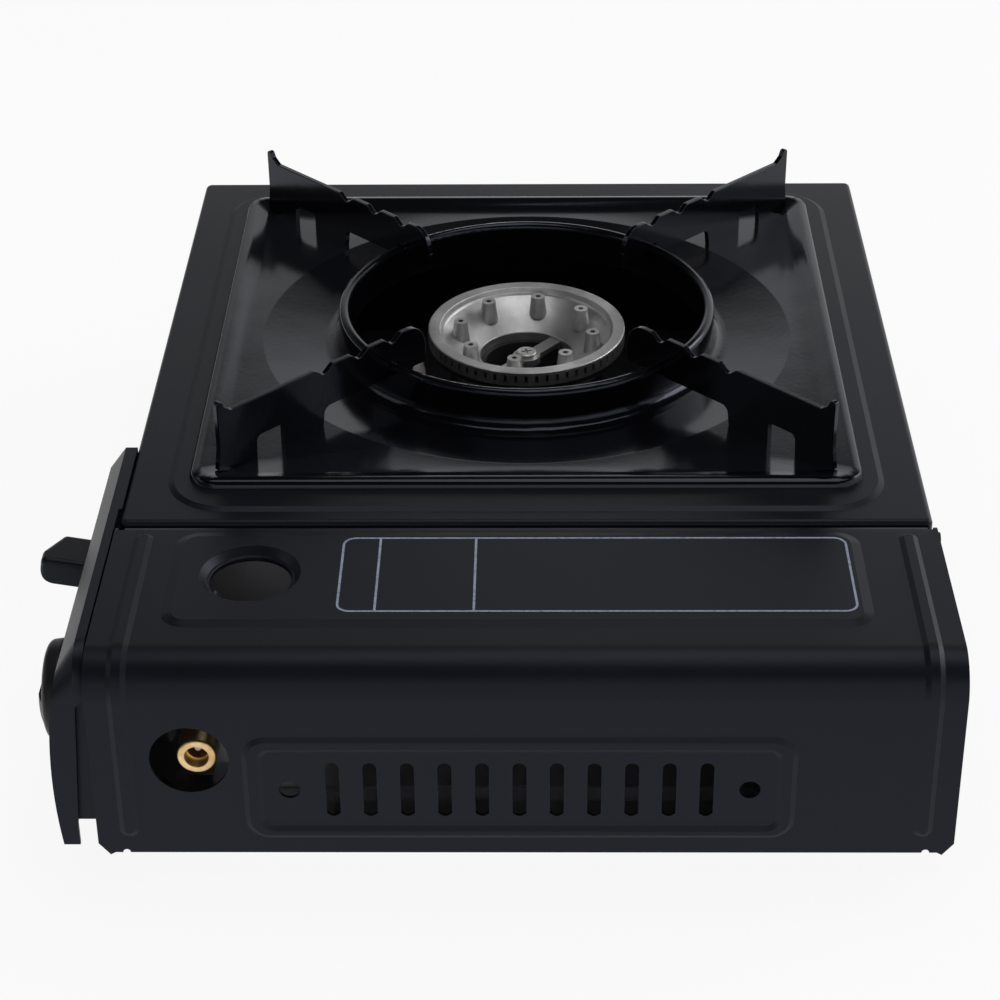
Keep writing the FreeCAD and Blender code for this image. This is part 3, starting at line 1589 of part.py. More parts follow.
def control_knob():
    hub = knob_hub_radius
    hub_end = front_face - knob_hub_reach
    back = panel_bulge_y - knob_skirt_gap
    seat = knob_face + knob_face_wall
    profile = [(stem_radius, hub_end), (hub, hub_end), (hub, back), (knob_radius, back, knob_skirt_round),
               (knob_radius - knob_draft, knob_face + knob_shoulder_depth, knob_shoulder_round),
               (knob_radius - knob_crown_inset, knob_face, knob_crown_round), (0, knob_face), (0, seat),
               (stem_radius, seat)]
    knob = turned_along_y(profile, valve_x, valve_height)
    flat = box(valve_x + stem_radius - stem_flat, valve_x + stem_radius + root, seat,
               front_face - stem_flat_reach, valve_height - stem_radius, valve_height + stem_radius)
    y0 = knob_face - past
    y1 = knob_face + knob_pocket_depth
    reach = knob_radius - knob_pocket_rim
    bar = box(valve_x - knob_radius, valve_x + knob_radius, y0, y1, valve_height - knob_grip_width / 2,
              valve_height + knob_grip_width / 2)
    return knob.fuse(flat).cut(rod_y(reach, valve_x, valve_height, y0, y1).cut(bar))


def ignition_cam():
    """Cam on the stem: its radius grows evenly over the knob's turn."""
    y = front_face - cam_reach

    def rim(radius, degrees):
        angle = math.radians(degrees)
        return Vec(valve_x + radius * math.cos(angle), y, valve_height + radius * math.sin(angle))

    shares = [index / cam_point_count for index in range(cam_point_count + 1)]
    points = [rim(cam_base_radius + cam_rise * share, 180 - cam_turn * share) for share in shares]
    drop = rim(cam_base_radius, 180 - cam_turn)
    low = rim(cam_base_radius, cam_low_angle)
    spiral = Part.BSplineCurve()
    spiral.interpolate(points)
    edges = [spiral.toShape(), Part.LineSegment(points[-1], drop).toShape(),
             Part.Arc(drop, low, points[0]).toShape()]
    cam = Part.Face(Part.Wire(edges)).extrude(Vec(0, cam_width, 0))
    return cam.cut(rod_y(stem_radius, valve_x, valve_height, y - past, y + cam_width + past))


def piezo_igniter():
    half_y = piezo_depth / 2
    half_z = piezo_height / 2
    section = rectangle(piezo_y - half_y, piezo_y + half_y, valve_height - half_z, valve_height + half_z,
                        piezo_round)
    body = slab(section, side, piezo_left, piezo_length)
    bore_floor = plunger_tip - plunger_length - cam_rise - plunger_end_gap
    return body.cut(rod_x(plunger_radius + running_clearance, piezo_y, valve_height, bore_floor,
                          piezo_right + past))


def piezo_plunger():
    return rod_x(plunger_radius, piezo_y, valve_height, plunger_tip - plunger_length, plunger_tip)


def electrode_bottom():
    return drum_bottom - electrode_foot_drop


def ignition_lead():
    """Lead from the igniter in the panel, along the front wall and down to the electrode."""
    fall = Vec(pan_x, front_face + lead_fall_depth, lead_fall_z)
    points = [Vec(piezo_left, piezo_y, valve_height), Vec(lead_x, piezo_y, valve_height),
              Vec(lead_x, piezo_y, lead_line_z), Vec(lead_x, lead_line_y, lead_line_z),
              Vec(pan_x + lead_line_end, lead_line_y, lead_line_z), fall,
              Vec(pan_x, electrode_y - lead_low_gap, lead_low_z), Vec(pan_x, electrode_y, lead_low_z),
              Vec(pan_x, electrode_y, electrode_bottom())]
    return swept(points, lead_radius, lead_bend)


def lead_clips():
    """Clips that hold the lead on the inside of the front wall."""
    clips = []
    length = clip_length / 2
    height = clip_height / 2
    for gap in clip_gaps:
        x = lead_x - gap
        block = box(x - length, x + length, front_wall, lead_line_y + lead_radius + clip_wall,
                    lead_line_z - height, lead_line_z + height)
        hole = rod_x(lead_radius + running_clearance, lead_line_y, lead_line_z, x - length - past,
                     x + length + past)
        clips.append(block.cut(hole))
    return group(clips)


def spark_electrode():
    """Ceramic sleeve of the electrode."""
    r = electrode_radius
    low = electrode_bottom()
    high = burner_top - electrode_top_drop
    profile = [(0, low), (r, low, electrode_round), (r, high - electrode_taper, electrode_round),
               (electrode_wire_radius + electrode_tip_wall, high), (0, high)]
    return turned(profile, pan_x, electrode_y)


def electrode_wire():
    points = [Vec(pan_x, electrode_y, burner_top - electrode_top_drop),
              Vec(pan_x, electrode_y, burner_top - electrode_wire_drop),
              Vec(pan_x + electrode_tip_reach, electrode_y, burner_top - electrode_tip_drop)]
    return swept(points, electrode_wire_radius, electrode_wire_bend)


def igniter_bracket():
    """Strip from the burner bracket that holds the electrode beside the burner."""
    x0 = pan_x - igniter_bracket_half
    x1 = pan_x + igniter_bracket_half
    low = drum_bottom - bracket_sheet
    hook = electrode_y - electrode_radius - igniter_bracket_reach
    arm = box(x0, x1, hook, -bracket_width / 2, low, drum_bottom)
    plate = box(x0, x1, hook, hook + bracket_sheet, low, burner_top - igniter_bracket_drop)
    return arm.fuse(plate).cut(rod_z(electrode_radius, pan_x, electrode_y, low - past, drum_bottom + past))


def lever_track():
    """Slanted slot in the lever's plate; its slope gives the carriage its travel."""
    r = carriage_pin_radius + sliding_clearance
    x0 = lever_middle - lever_plate / 2 - past
    x1 = lever_middle + lever_plate / 2 + past
    end_y = pin_y - carriage_travel
    end_z = pin_z + lever_travel
    length = math.hypot(carriage_travel, lever_travel)
    across_y = lever_travel / length * r
    across_z = carriage_travel / length * r
    corners = [(pin_y + across_y, pin_z + across_z), (end_y + across_y, end_z + across_z),
               (end_y - across_y, end_z - across_z), (pin_y - across_y, pin_z - across_z)]
    track = slab(corners, side, x0, x1 - x0)
    return track.multiFuse([rod_x(r, pin_y, pin_z, x0, x1), rod_x(r, end_y, end_z, x0, x1)])


def lever_tab():
    """Finger tab outside the panel; it tilts up towards its tip."""
    low = lever_bottom
    high = low + lever_height
    back = front_face - lever_tab_back
    rear = back + lever_height
    tab = slab([(lever_left, rear), (lever_left, front_face - lever_tab_low_end, lever_round),
                (lever_right - lever_tip_width, lever_tip, lever_tip_round),
                (lever_right, lever_tip, lever_round),
                (lever_right, rear)], plan, low, lever_height)
    tab = tab.makeFillet(lever_round, top_edges(tab, high))
    under = slab([(rear, low), (lever_tip, low, lever_under_round), (lever_tip, high), (rear, high)],
                 side, lever_left, lever_width)
    tab = tab.common(under)
    tab.rotate(Vec(0, lever_tip + lever_under_round, low + lever_under_round), Vec(1, 0, 0), -lever_tilt)
    return tab.common(box(lever_left, lever_right, lever_tip, back, 0, deck_top))


def lock_lever():
    """Finger tab with the plate that moves the cartridge carriage."""
    x0 = lever_middle - lever_plate / 2
    x1 = lever_middle + lever_plate / 2
    low = lever_bottom
    high = low + lever_height
    neck = box(x0, x1, front_face - lever_tab_back - past, front_face + lever_neck_depth, low,
               high - lever_neck_drop)
    plate = box(x0, x1, front_face + lever_plate_start, front_face + lever_plate_end,
                low - lever_plate_drop, high)
    return lever_tab().multiFuse([neck, plate]).cut(lever_track())


def lever_guide():
    """Rails on the inside of the front wall that keep the lever upright."""
    inner = lever_plate / 2 + sliding_clearance
    outer = inner + guide_sheet
    low = lever_bottom - lever_travel - guide_margin
    high = lever_bottom + lever_height + guide_margin
    back = box(lever_middle - guide_half_width, lever_middle + guide_half_width, front_wall,
               front_wall + guide_sheet, low, high)
    end = front_wall + guide_rail_depth
    rails = [box(lever_middle - outer, lever_middle - inner, front_wall, end, low, high),
             box(lever_middle + inner, lever_middle + outer, front_wall, end, low, high)]
    return back.multiFuse(rails).cut(lever_opening(front_wall - past, end + past))


def cartridge_carriage():
    """Slide that carries the cartridge against the regulator when the lever goes down."""
    t = carriage_sheet
    half = carriage_strip_width / 2
    x0 = valve_x - half
    x1 = valve_x + half
    low = valve_height - math.sqrt((trough_radius - running_clearance) ** 2 - half ** 2)
    arm_low = floor_top + carriage_arm_lift
    strip = box(x0, x1, arm_rear - t, carriage_rear, low, low + t)
    riser = box(x0, x1, arm_rear - t, arm_rear, low, arm_low + t)
    lug = box(x0, x1, carriage_rear, carriage_rear + t, low, low + carriage_lug_height)
    post_left = lever_middle - lever_plate / 2 - carriage_post_gap
    post_right = post_left + carriage_post_sheet
    post_front = pin_y - carriage_post_half
    arm = box(post_left, x1, arm_front, arm_rear, arm_low, arm_low + t)
    link = box(post_left, post_right, post_front, arm_rear, arm_low, arm_low + t)
    post = box(post_left, post_right, post_front, pin_y + carriage_post_half, arm_low,
               pin_z + carriage_post_half)
    pin = rod_x(carriage_pin_radius, pin_y, pin_z, post_left,
                lever_middle + lever_plate / 2 + carriage_pin_overrun)
    return strip.multiFuse([riser, lug, arm, link, post, pin])


def cradle_saddles():
    """Cheeks on the floor, either side of the trough, that the cartridge rests between."""
    pieces = []
    x0 = valve_x - saddle_half_width
    x1 = valve_x + saddle_half_width
    opening = trough_radius * saddle_opening_share
    for y in saddle_places:
        whole = box(x0, x1, y, y + saddle_sheet, floor_top, saddle_height)
        foot = box(x0, x1, y, y + saddle_foot, floor_top, floor_top + saddle_sheet)
        y0 = y - past
        y1 = y + saddle_foot + past
        clear = rod_y(cartridge_radius + saddle_gap, valve_x, valve_height, y0, y1)
        middle = box(valve_x - opening, valve_x + opening, y0, y1, 0, saddle_height + past)
        pieces += whole.fuse(foot).cut(clear.fuse(middle)).Solids
    return group(pieces)


def inlet_fitting():
    """Brass hose inlet screwed into the regulator's side boss, with a stepped bore."""
    r = inlet_radius
    end = inlet_end
    groove = inlet_start + inlet_groove
    groove_end = groove + inlet_groove_width
    neck = r - inlet_groove_depth
    core = inlet_core_radius + running_clearance
    step = end - inlet_mouth_depth
    guide = inlet_bore_floor - inlet_guide_length
    profile = [(0, inlet_start), (r, inlet_start, inlet_root_round), (r, groove),
               (neck, groove + inlet_groove_slope),
               (neck, groove_end - inlet_groove_slope), (r, groove_end), (r, end, inlet_edge_round),
               (inlet_mouth_radius, end, inlet_mouth_round), (inlet_mouth_radius, step), (inlet_bore, step),
               (inlet_bore, inlet_bore_floor), (core, inlet_bore_floor), (core, guide), (0, guide)]
    return turned_along_x(profile, inlet_y, inlet_z)


def inlet_core():
    """Valve pin inside the inlet; a hose pushes it in."""
    low = inlet_bore_floor - inlet_core_foot
    high = inlet_bore_floor + inlet_core_reach
    profile = [(0, low), (inlet_core_radius, low), (inlet_core_radius, high, inlet_core_round), (0, high)]
    return turned_along_x(profile, inlet_y, inlet_z)


def inlet_seal():
    """Rubber washer at the bottom of the inlet's bore."""
    low = inlet_bore_floor
    high = low + inlet_seal_height
    inner = inlet_core_radius + inlet_seal_gap
    profile = [(inner, low), (inlet_bore, low), (inlet_bore, high), (inner, high)]
    return turned_along_x(profile, inlet_y, inlet_z)


nodes = {
    "body_shell": body_shell,
    "base_plate": base_plate,
    "rubber_feet": rubber_feet,
    "floor_screws": floor_screws,
    "partition": partition,
    "cartridge_cover": cartridge_cover,
    "hinge_pins": hinge_pins,
    "front_panel": front_panel,
    "panel_screws": panel_screws,
    "drip_pan": drip_pan,
    "burner_head": burner_head,
    "burner_body": burner_body,
    "burner_strap": burner_strap,
    "burner_screw": burner_screw,
    "burner_bracket": burner_bracket,
    "bracket_screws": bracket_screws,
    "mixing_tube": mixing_tube,
    "air_shutter": air_shutter,
    "injector_bracket": injector_bracket,
    "injector_nozzle": injector_nozzle,
    "gas_pipe": gas_pipe,
    "pipe_nuts": pipe_nuts,
    "regulator_body": regulator_body,
    "regulator_cap": regulator_cap,
    "regulator_screws": regulator_screws,
    "valve_stem": valve_stem,
    "control_knob": control_knob,
    "ignition_cam": ignition_cam,
    "piezo_igniter": piezo_igniter,
    "piezo_plunger": piezo_plunger,
    "ignition_lead": ignition_lead,
    "lead_clips": lead_clips,
    "spark_electrode": spark_electrode,
    "electrode_wire": electrode_wire,
    "igniter_bracket": igniter_bracket,
    "lock_lever": lock_lever,
    "lever_guide": lever_guide,
    "cartridge_carriage": cartridge_carriage,
    "cradle_saddles": cradle_saddles,
    "inlet_fitting": inlet_fitting,
    "inlet_core": inlet_core,
    "inlet_seal": inlet_seal,
}
for place, angle in support_angles.items():
    nodes["pot_support_" + place] = lambda angle=angle: pot_support(angle)

os.makedirs("parts", exist_ok=True)
for name, build in nodes.items():
    shape = build()
    shape.translate(origin_shift)
    print(name, len(shape.Solids), "solids", round(shape.Volume), "mm3",
          "valid" if shape.isValid() else "NOT VALID")
    shape.exportStep("parts/" + name + ".step")
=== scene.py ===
# %% [markdown]
# # A tabletop gas stove in black enamel
# The stove is a pressed steel box with a hinged cover over the gas cartridge, an enamelled
# drip pan, four blade supports and a cast burner. Its working parts come ready made as a
# fixed frame, so this lesson is about the looks: finish, light, and the printed field.

# %% Load the frame
import json
import math
import bmesh
import bpy
from mathutils import Matrix, Vector


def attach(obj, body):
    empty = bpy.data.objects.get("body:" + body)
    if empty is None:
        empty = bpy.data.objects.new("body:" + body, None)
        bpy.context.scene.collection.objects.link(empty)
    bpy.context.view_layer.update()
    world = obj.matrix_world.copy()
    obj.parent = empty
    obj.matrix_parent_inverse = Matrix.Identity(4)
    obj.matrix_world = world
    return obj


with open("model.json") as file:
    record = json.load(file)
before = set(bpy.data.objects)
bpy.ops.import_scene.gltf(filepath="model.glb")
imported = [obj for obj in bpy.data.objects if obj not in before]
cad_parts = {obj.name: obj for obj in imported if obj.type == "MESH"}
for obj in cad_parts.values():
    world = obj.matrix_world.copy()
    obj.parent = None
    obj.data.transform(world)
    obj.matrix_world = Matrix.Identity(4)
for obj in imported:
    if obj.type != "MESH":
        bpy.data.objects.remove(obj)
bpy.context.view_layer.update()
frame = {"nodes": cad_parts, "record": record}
solids = frame["nodes"]

# %% [markdown]
# ## Camera
# The photograph looks down at the cartridge side from a little over half a metre up. The
# three angles were found by matching the stove's straight edges; the lens is long, so the
# far edge of the deck is only a little narrower than the near one.

# %% Place the camera
camera_place = Vector((0.79334, 0.01709, 0.52067))
camera_yaw = math.radians(0.95)
camera_pitch = math.radians(31.556)
camera_roll = math.radians(-0.5635)
focal_pixels = 2573.7
picture_pixels = 1000.0
sensor_width = 36.0


def camera_axes(yaw, pitch, roll):
    """Right, up and back of a camera that looks along -X, turned by yaw, pitch and roll."""
    ahead = Vector((-math.cos(pitch) * math.cos(yaw),
                    -math.cos(pitch) * math.sin(yaw),
                    -math.sin(pitch)))
    level = Vector((-math.sin(yaw), math.cos(yaw), 0.0))
    up = level.cross(ahead)
    right = level * math.cos(roll) + up * math.sin(roll)
    return right, up * math.cos(roll) - level * math.sin(roll), -ahead


camera_data = bpy.data.cameras.new("camera")
camera_data.sensor_width = sensor_width
camera_data.lens = focal_pixels * sensor_width / picture_pixels
camera = bpy.data.objects.new("camera", camera_data)
bpy.context.scene.collection.objects.link(camera)
axes = Matrix(camera_axes(camera_yaw, camera_pitch, camera_roll)).transposed()
camera.matrix_world = Matrix.Translation(camera_place) @ axes.to_4x4()
bpy.context.scene.camera = camera
print("lens", round(camera_data.lens, 1), "mm")

# %% [markdown]
# ## Shader arithmetic
# A finish is mostly masks and sums. A small class wraps a shader socket so that they can be
# written as ordinary expressions. A second class holds a node tree, and its one method makes
# every other node, for a material as for the background.

# %% Wrap shader sockets
class Value:
    """A number that varies over a surface; arithmetic on it adds Math nodes."""

    def __init__(self, nodes, socket):
        self.nodes = nodes
        self.socket = socket

    def _with(self, operation, first, second):
        settings = {"operation": operation}
        return self.nodes.node("ShaderNodeMath", settings, {0: first, 1: second})["Value"]

    def __add__(self, other):
        return self._with("ADD", self, other)

    def __radd__(self, other):
        return self._with("ADD", other, self)

    def __mul__(self, other):
        return self._with("MULTIPLY", self, other)

    def __rmul__(self, other):
        return self._with("MULTIPLY", other, self)

    def or_more(self, other):
        """The larger of the two."""
        return self._with("MAXIMUM", self, other)


class Nodes:
    """A node tree, of a material or of the background."""

    def __init__(self, tree):
        self.tree = tree

    def feed(self, socket, value):
        """Gives a socket a number, a colour or a Value."""
        if isinstance(value, Value):
            self.tree.links.new(value.socket, socket)
        elif isinstance(value, (tuple, list)) and len(value) == 3 and socket.type == "RGBA":
            socket.default_value = (*value, 1.0)
        else:
            socket.default_value = value

    def node(self, kind, settings=None, values=None):
        """Makes a node: settings first, then the values or links of its sockets."""
        made = self.tree.nodes.new(kind)
        for key, setting in (settings or {}).items():
            setattr(made, key, setting)
        for key, value in (values or {}).items():
            self.feed(made.inputs[key], value)
        return {output.name: Value(self, output) for output in made.outputs if output.enabled}

    def ramp(self, value, low, high, start=0.0, end=1.0):
        """The number start where value is under low, end above high, smooth between."""
        values = {"Value": value, "From Min": low, "From Max": high, "To Min": start, "To Max": end}
        return self.node("ShaderNodeMapRange", {"interpolation_type": "SMOOTHSTEP"}, values)["Result"]

    def mix(self, factor, first, second):
        """Mixes two numbers."""
        values = {"Factor": factor, "A": first, "B": second}
        return self.node("ShaderNodeMix", {"data_type": "FLOAT"}, values)["Result"]

    def blend(self, factor, first, second):
        """Mixes two colours, which are the Mix node's sockets 6 and 7."""
        values = {"Factor": factor, 6: first, 7: second}
        return self.node("ShaderNodeMix", {"data_type": "RGBA"}, values)["Result"]


class Finish(Nodes):
    """One material, built from nodes on the piece's own coordinates."""

    def __init__(self, name, color, roughness, metallic=0.0, **fixed):
        self.material = bpy.data.materials.new(name)
        self.material.use_nodes = True
        super().__init__(self.material.node_tree)
        self.shader = self.tree.nodes["Principled BSDF"]
        self.set("Base Color", color)
        self.set("Roughness", roughness)
        self.set("Metallic", metallic)
        for socket, value in fixed.items():
            self.set(socket.replace("_", " "), value)
        self.place = self.node("ShaderNodeTexCoord")["Object"]

    def set(self, socket, value):
        """Gives a socket of the surface shader a number, a colour or a Value."""
        self.feed(self.shader.inputs[socket], value)

    def noise(self, scale, detail=2.0, roughness=0.5):
        """Cloudy pattern; scale is in spots per metre."""
        values = {"Vector": self.place, "Scale": scale, "Detail": detail, "Roughness": roughness}
        return self.node("ShaderNodeTexNoise", None, values)["Fac"]

    def spangles(self, scale):
        """Patches of one random grey each; scale is in patches per metre."""
        patch = self.node("ShaderNodeTexVoronoi", None, {"Vector": self.place, "Scale": scale})
        return self.node("ShaderNodeRGBToBW", None, {"Color": patch["Color"]})["Val"]

    def bump(self, height, depth, strength):
        """Feeds a height, depth metres tall, to the surface's normal."""
        values = {"Height": height, "Distance": depth, "Strength": strength}
        self.set("Normal", self.node("ShaderNodeBump", None, values)["Normal"])


def shade_of(color, share):
    """A colour times a share: darker under 1, lighter over 1."""
    return tuple(share * part for part in color)


print("shader helpers ready")

# %% [markdown]
# ## Satin black powder coat
# The deck, the cover and the control panel are pressed steel with a satin coat. Up close it
# has a fine orange peel, and its gloss drifts a little from place to place. The gloss itself
# is weak and faintly blue, so it is set on the shader's own sockets.

# %% Powder coat
cool_tint = (0.74, 0.80, 1.0)
coat_gloss = 0.24
coat_roughness = 0.34
satin_black = (0.0040, 0.0044, 0.0068)
bare_black = (0.0040, 0.0040, 0.0050)


def satin_coat(name, color):
    finish = Finish(name, color, 0.42, Specular_IOR_Level=coat_gloss, Specular_Tint=cool_tint)
    grain = finish.noise(2600.0, detail=3.0, roughness=0.6)
    drift = finish.noise(14.0)
    finish.set("Base Color", finish.blend(finish.ramp(drift, 0.3, 0.7), color, shade_of(color, 1.25)))
    finish.set("Roughness", coat_roughness + grain * 0.06 + drift * 0.08)
    finish.bump(grain, depth=0.00004, strength=0.5)
    return finish.material


coat = satin_coat("satin_black_coat", satin_black)
print("coat:", coat.name)

# %% [markdown]
# ## Glossy enamel
# The pan and its supports are dipped in vitreous enamel. It is nearly a black mirror, with a
# slow waviness that bends reflections and a few fine specks.

# %% Enamel
enamel_black = (0.0020, 0.0021, 0.0030)
enamel_gloss = 0.34
enamel_roughness = 0.10


def glossy_enamel(name):
    finish = Finish(name, enamel_black, 0.12, Specular_IOR_Level=enamel_gloss, Specular_Tint=cool_tint)
    wave = finish.noise(38.0, detail=1.0)
    fine = finish.noise(420.0)
    finish.set("Roughness", enamel_roughness + wave * 0.06 + fine * 0.03)
    finish.bump(wave + fine * 0.12, depth=0.0006, strength=0.25)
    return finish.material


enamel = glossy_enamel("gloss_black_enamel")
print("enamel:", enamel.name)

# %% [markdown]
# ## Metals
# Cast aluminium is grainy where it came from the mould. Galvanised sheet shows soft
# spangles. Turned brass is smooth with fine rings and a little tarnish.

# %% Cast, plated and turned metal
def cast_metal(name, color, roughness, grain_depth):
    finish = Finish(name, color, roughness, 1.0)
    grain = finish.noise(1500.0, detail=4.0, roughness=0.65)
    stain = finish.noise(60.0, detail=3.0)
    finish.set("Base Color", finish.blend(finish.ramp(stain, 0.35, 0.7), shade_of(color, 0.62), color))
    finish.set("Roughness", roughness - 0.08 + grain * 0.18)
    finish.bump(grain, depth=grain_depth, strength=0.8)
    return finish.material


def galvanised(name, color):
    finish = Finish(name, color, 0.42, 0.85)
    shade = finish.spangles(70.0)
    drift = finish.noise(9.0)
    finish.set("Base Color", finish.blend(shade * 0.6 + drift * 0.4, shade_of(color, 0.82), color))
    finish.set("Roughness", 0.34 + shade * 0.16)
    finish.bump(finish.noise(800.0), depth=0.00002, strength=0.4)
    return finish.material


def turned_metal(name, color, roughness, tarnish):
    finish = Finish(name, color, roughness, 1.0)
    rings = finish.noise(3200.0, detail=1.0)
    stain = finish.noise(240.0, detail=3.0)
    finish.set("Base Color", finish.blend(finish.ramp(stain, 0.35, 0.75), color, tarnish))
    finish.set("Roughness", roughness + rings * 0.1)
    finish.bump(rings, depth=0.00002, strength=0.4)
    return finish.material


cast_aluminium = cast_metal("cast_aluminium", (0.62, 0.62, 0.62), 0.42, 0.0001)
dark_casting = cast_metal("dark_casting", (0.075, 0.075, 0.08), 0.55, 0.0001)
zinc_casting = cast_metal("zinc_casting", (0.36, 0.36, 0.37), 0.45, 0.00006)
plated_sheet = galvanised("galvanised_sheet", (0.60, 0.60, 0.64))
plated_screw = turned_metal("zinc_screw", (0.62, 0.62, 0.60), 0.28, (0.45, 0.45, 0.42))
brass = turned_metal("turned_brass", (0.86, 0.62, 0.32), 0.34, (0.58, 0.38, 0.18))
core_steel = turned_metal("core_steel", (0.55, 0.56, 0.50), 0.3, (0.35, 0.36, 0.30))
pipe_metal = turned_metal("pipe_aluminium", (0.68, 0.68, 0.68), 0.33, (0.52, 0.52, 0.52))
dark_wire = turned_metal("dark_wire", (0.16, 0.12, 0.10), 0.4, (0.08, 0.05, 0.05))
print("metals:", brass.name, "and eight more")

# %% [markdown]
# ## Plastic, rubber and ceramic
# The knob is moulded in a fine texture, the feet are dull rubber, and the electrode's
# sleeve is a glazed white ceramic. One recipe makes them all: only the grain's size and
# depth and the shine differ. The small black steel pieces take the satin coat's recipe.

# %% Plastic, rubber and ceramic
def moulded(name, color, roughness, scale=1800.0, depth=0.00004, gloss=0.5):
    finish = Finish(name, color, roughness, Specular_IOR_Level=gloss)
    texture = finish.noise(scale, roughness=0.6)
    finish.set("Roughness", roughness - 0.05 + texture * 0.12)
    finish.bump(texture, depth=depth, strength=0.6)
    return finish.material


black_plastic = moulded("black_plastic", (0.0060, 0.0063, 0.0090), 0.42, gloss=0.3)
white_plastic = moulded("white_plastic", (0.66, 0.66, 0.62), 0.4)
rubber = moulded("black_rubber", (0.018, 0.018, 0.018), 0.75, 900.0, 0.0001)
ceramic = moulded("white_ceramic", (0.78, 0.76, 0.72), 0.16, 300.0, 0.00002)
lead_jacket = moulded("lead_jacket", (0.42, 0.08, 0.04), 0.5)
inner_steel = satin_coat("black_steel", bare_black)
print("moulded:", black_plastic.name, "and four more")

# %% [markdown]
# ## Dress the frame
# Every solid of the frame is welded for shading and gets the finish of its slot. The weld is
# a modifier, so the solid itself stays as it is; edges over a limit angle stay crisp. The
# pressed shells have shallow beads, so their limit is low.

# %% Give each slot its finish
finishes = {
    "satin_black_enamel": coat,
    "gloss_black_enamel": enamel,
    "black_steel": inner_steel,
    "galvanised_steel": plated_sheet,
    "black_rubber": rubber,
    "zinc_screws": plated_screw,
    "core_steel": core_steel,
    "dark_wire": dark_wire,
    "cast_aluminium": cast_aluminium,
    "dark_casting": dark_casting,
    "brass": brass,
    "pipe_aluminium": pipe_metal,
    "zinc_casting": zinc_casting,
    "black_plastic": black_plastic,
    "white_plastic": white_plastic,
    "white_ceramic": ceramic,
    "lead_jacket": lead_jacket,
}
weld_distance = 0.000002
pressed_edge = math.radians(11.0)
common_edge = math.radians(28.0)
soft_edge = math.radians(48.0)
edge_limits = {"cartridge_cover": pressed_edge, "body_shell": pressed_edge, "drip_pan": soft_edge}


def crisp_shading(name, limit):
    """Node group that welds a mesh and shades it smooth, apart from edges sharper than limit."""
    group = bpy.data.node_groups.new(name, "GeometryNodeTree")
    group.interface.new_socket("Geometry", in_out="INPUT", socket_type="NodeSocketGeometry")
    group.interface.new_socket("Geometry", in_out="OUTPUT", socket_type="NodeSocketGeometry")
    kinds = {"in": "NodeGroupInput",
             "weld": "GeometryNodeMergeByDistance",
             "smooth": "GeometryNodeSetShadeSmooth",
             "sharp": "GeometryNodeSetShadeSmooth",
             "angle": "GeometryNodeInputMeshEdgeAngle",
             "test": "FunctionNodeCompare",
             "out": "NodeGroupOutput"}
    made = {key: group.nodes.new(kind) for key, kind in kinds.items()}
    made["sharp"].domain = "EDGE"
    made["test"].operation = "GREATER_THAN"
    made["weld"].inputs["Distance"].default_value = weld_distance
    made["test"].inputs["B"].default_value = limit
    made["sharp"].inputs["Shade Smooth"].default_value = False
    for giver, output, taker, socket in (
            ("in", "Geometry", "weld", "Geometry"),
            ("weld", "Geometry", "smooth", "Geometry"),
            ("smooth", "Geometry", "sharp", "Geometry"),
            ("angle", "Unsigned Angle", "test", "A"),
            ("test", "Result", "sharp", "Selection"),
            ("sharp", "Geometry", "out", "Geometry")):
        group.links.new(made[giver].outputs[output], made[taker].inputs[socket])
    return group


shading_groups = {}


def shade_by_angle(piece, limit):
    """Adds the shading group for a limit angle, and lets large faces keep their normals."""
    if limit not in shading_groups:
        name = "crisp_over_%d_degrees" % round(math.degrees(limit))
        shading_groups[limit] = crisp_shading(name, limit)
    shading = piece.modifiers.new("crisp edges", "NODES")
    shading.node_group = shading_groups[limit]
    weigh = piece.modifiers.new("flat faces", "WEIGHTED_NORMAL")
    weigh.keep_sharp = True


for part in frame["record"]["subparts"]:
    piece = solids[part["node"]]
    piece.data.materials.clear()
    piece.data.materials.append(finishes[part["material_slot"]])
    shade_by_angle(piece, edge_limits.get(part["node"], common_edge))

# %% [markdown]
# ## Printed frame on the cover
# The raised field of the cover has a thin printed outline with two cross lines. Ink lies on
# the coat as a film, so each line is a flat strip a twentieth of a millimetre thick: a sheet
# with rounded corners, inset to a border, and two narrow bars between its long sides.

# %% Print the frame
field_top = 0.0808
print_low = Vector((0.10005, -0.04445))
print_high = Vector((0.14235, 0.11555))
line_width = 0.00075
film = 0.00005
corner_radius = 0.0042
corner_steps = 8
cross_lines = (0.0116, 0.0420)


def flat_sheet(shape, low, high):
    """Adds one flat face between two corners, level with the raised field, and returns it."""
    corners = [(low[0], low[1]), (high[0], low[1]), (high[0], high[1]), (low[0], high[1])]
    return shape.faces.new([shape.verts.new((x, y, field_top)) for x, y in corners])


def printed_frame():
    shape = bmesh.new()
    sheet = flat_sheet(shape, print_low, print_high)
    bmesh.ops.bevel(shape, geom=list(sheet.verts), offset=corner_radius, affect="VERTICES",
                    segments=corner_steps, profile=0.5, material=-1)
    bmesh.ops.inset_region(shape, faces=shape.faces[:], thickness=line_width,
                           use_boundary=True, use_even_offset=True)
    inner = max(shape.faces, key=lambda face: face.calc_area())
    bmesh.ops.delete(shape, geom=[inner], context="FACES")
    for along in cross_lines:
        start = print_low[1] + along
        flat_sheet(shape, (print_low[0] + line_width, start),
                   (print_high[0] - line_width, start + line_width))
    raised = bmesh.ops.extrude_face_region(shape, geom=shape.faces[:])
    top = [item for item in raised["geom"] if isinstance(item, bmesh.types.BMVert)]
    bmesh.ops.translate(shape, verts=top, vec=(0.0, 0.0, film))
    bmesh.ops.recalc_face_normals(shape, faces=shape.faces[:])
    mesh = bpy.data.meshes.new("printed_frame")
    shape.to_mesh(mesh)
    shape.free()
    piece = bpy.data.objects.new("printed_frame", mesh)
    bpy.context.scene.collection.objects.link(piece)
    return piece


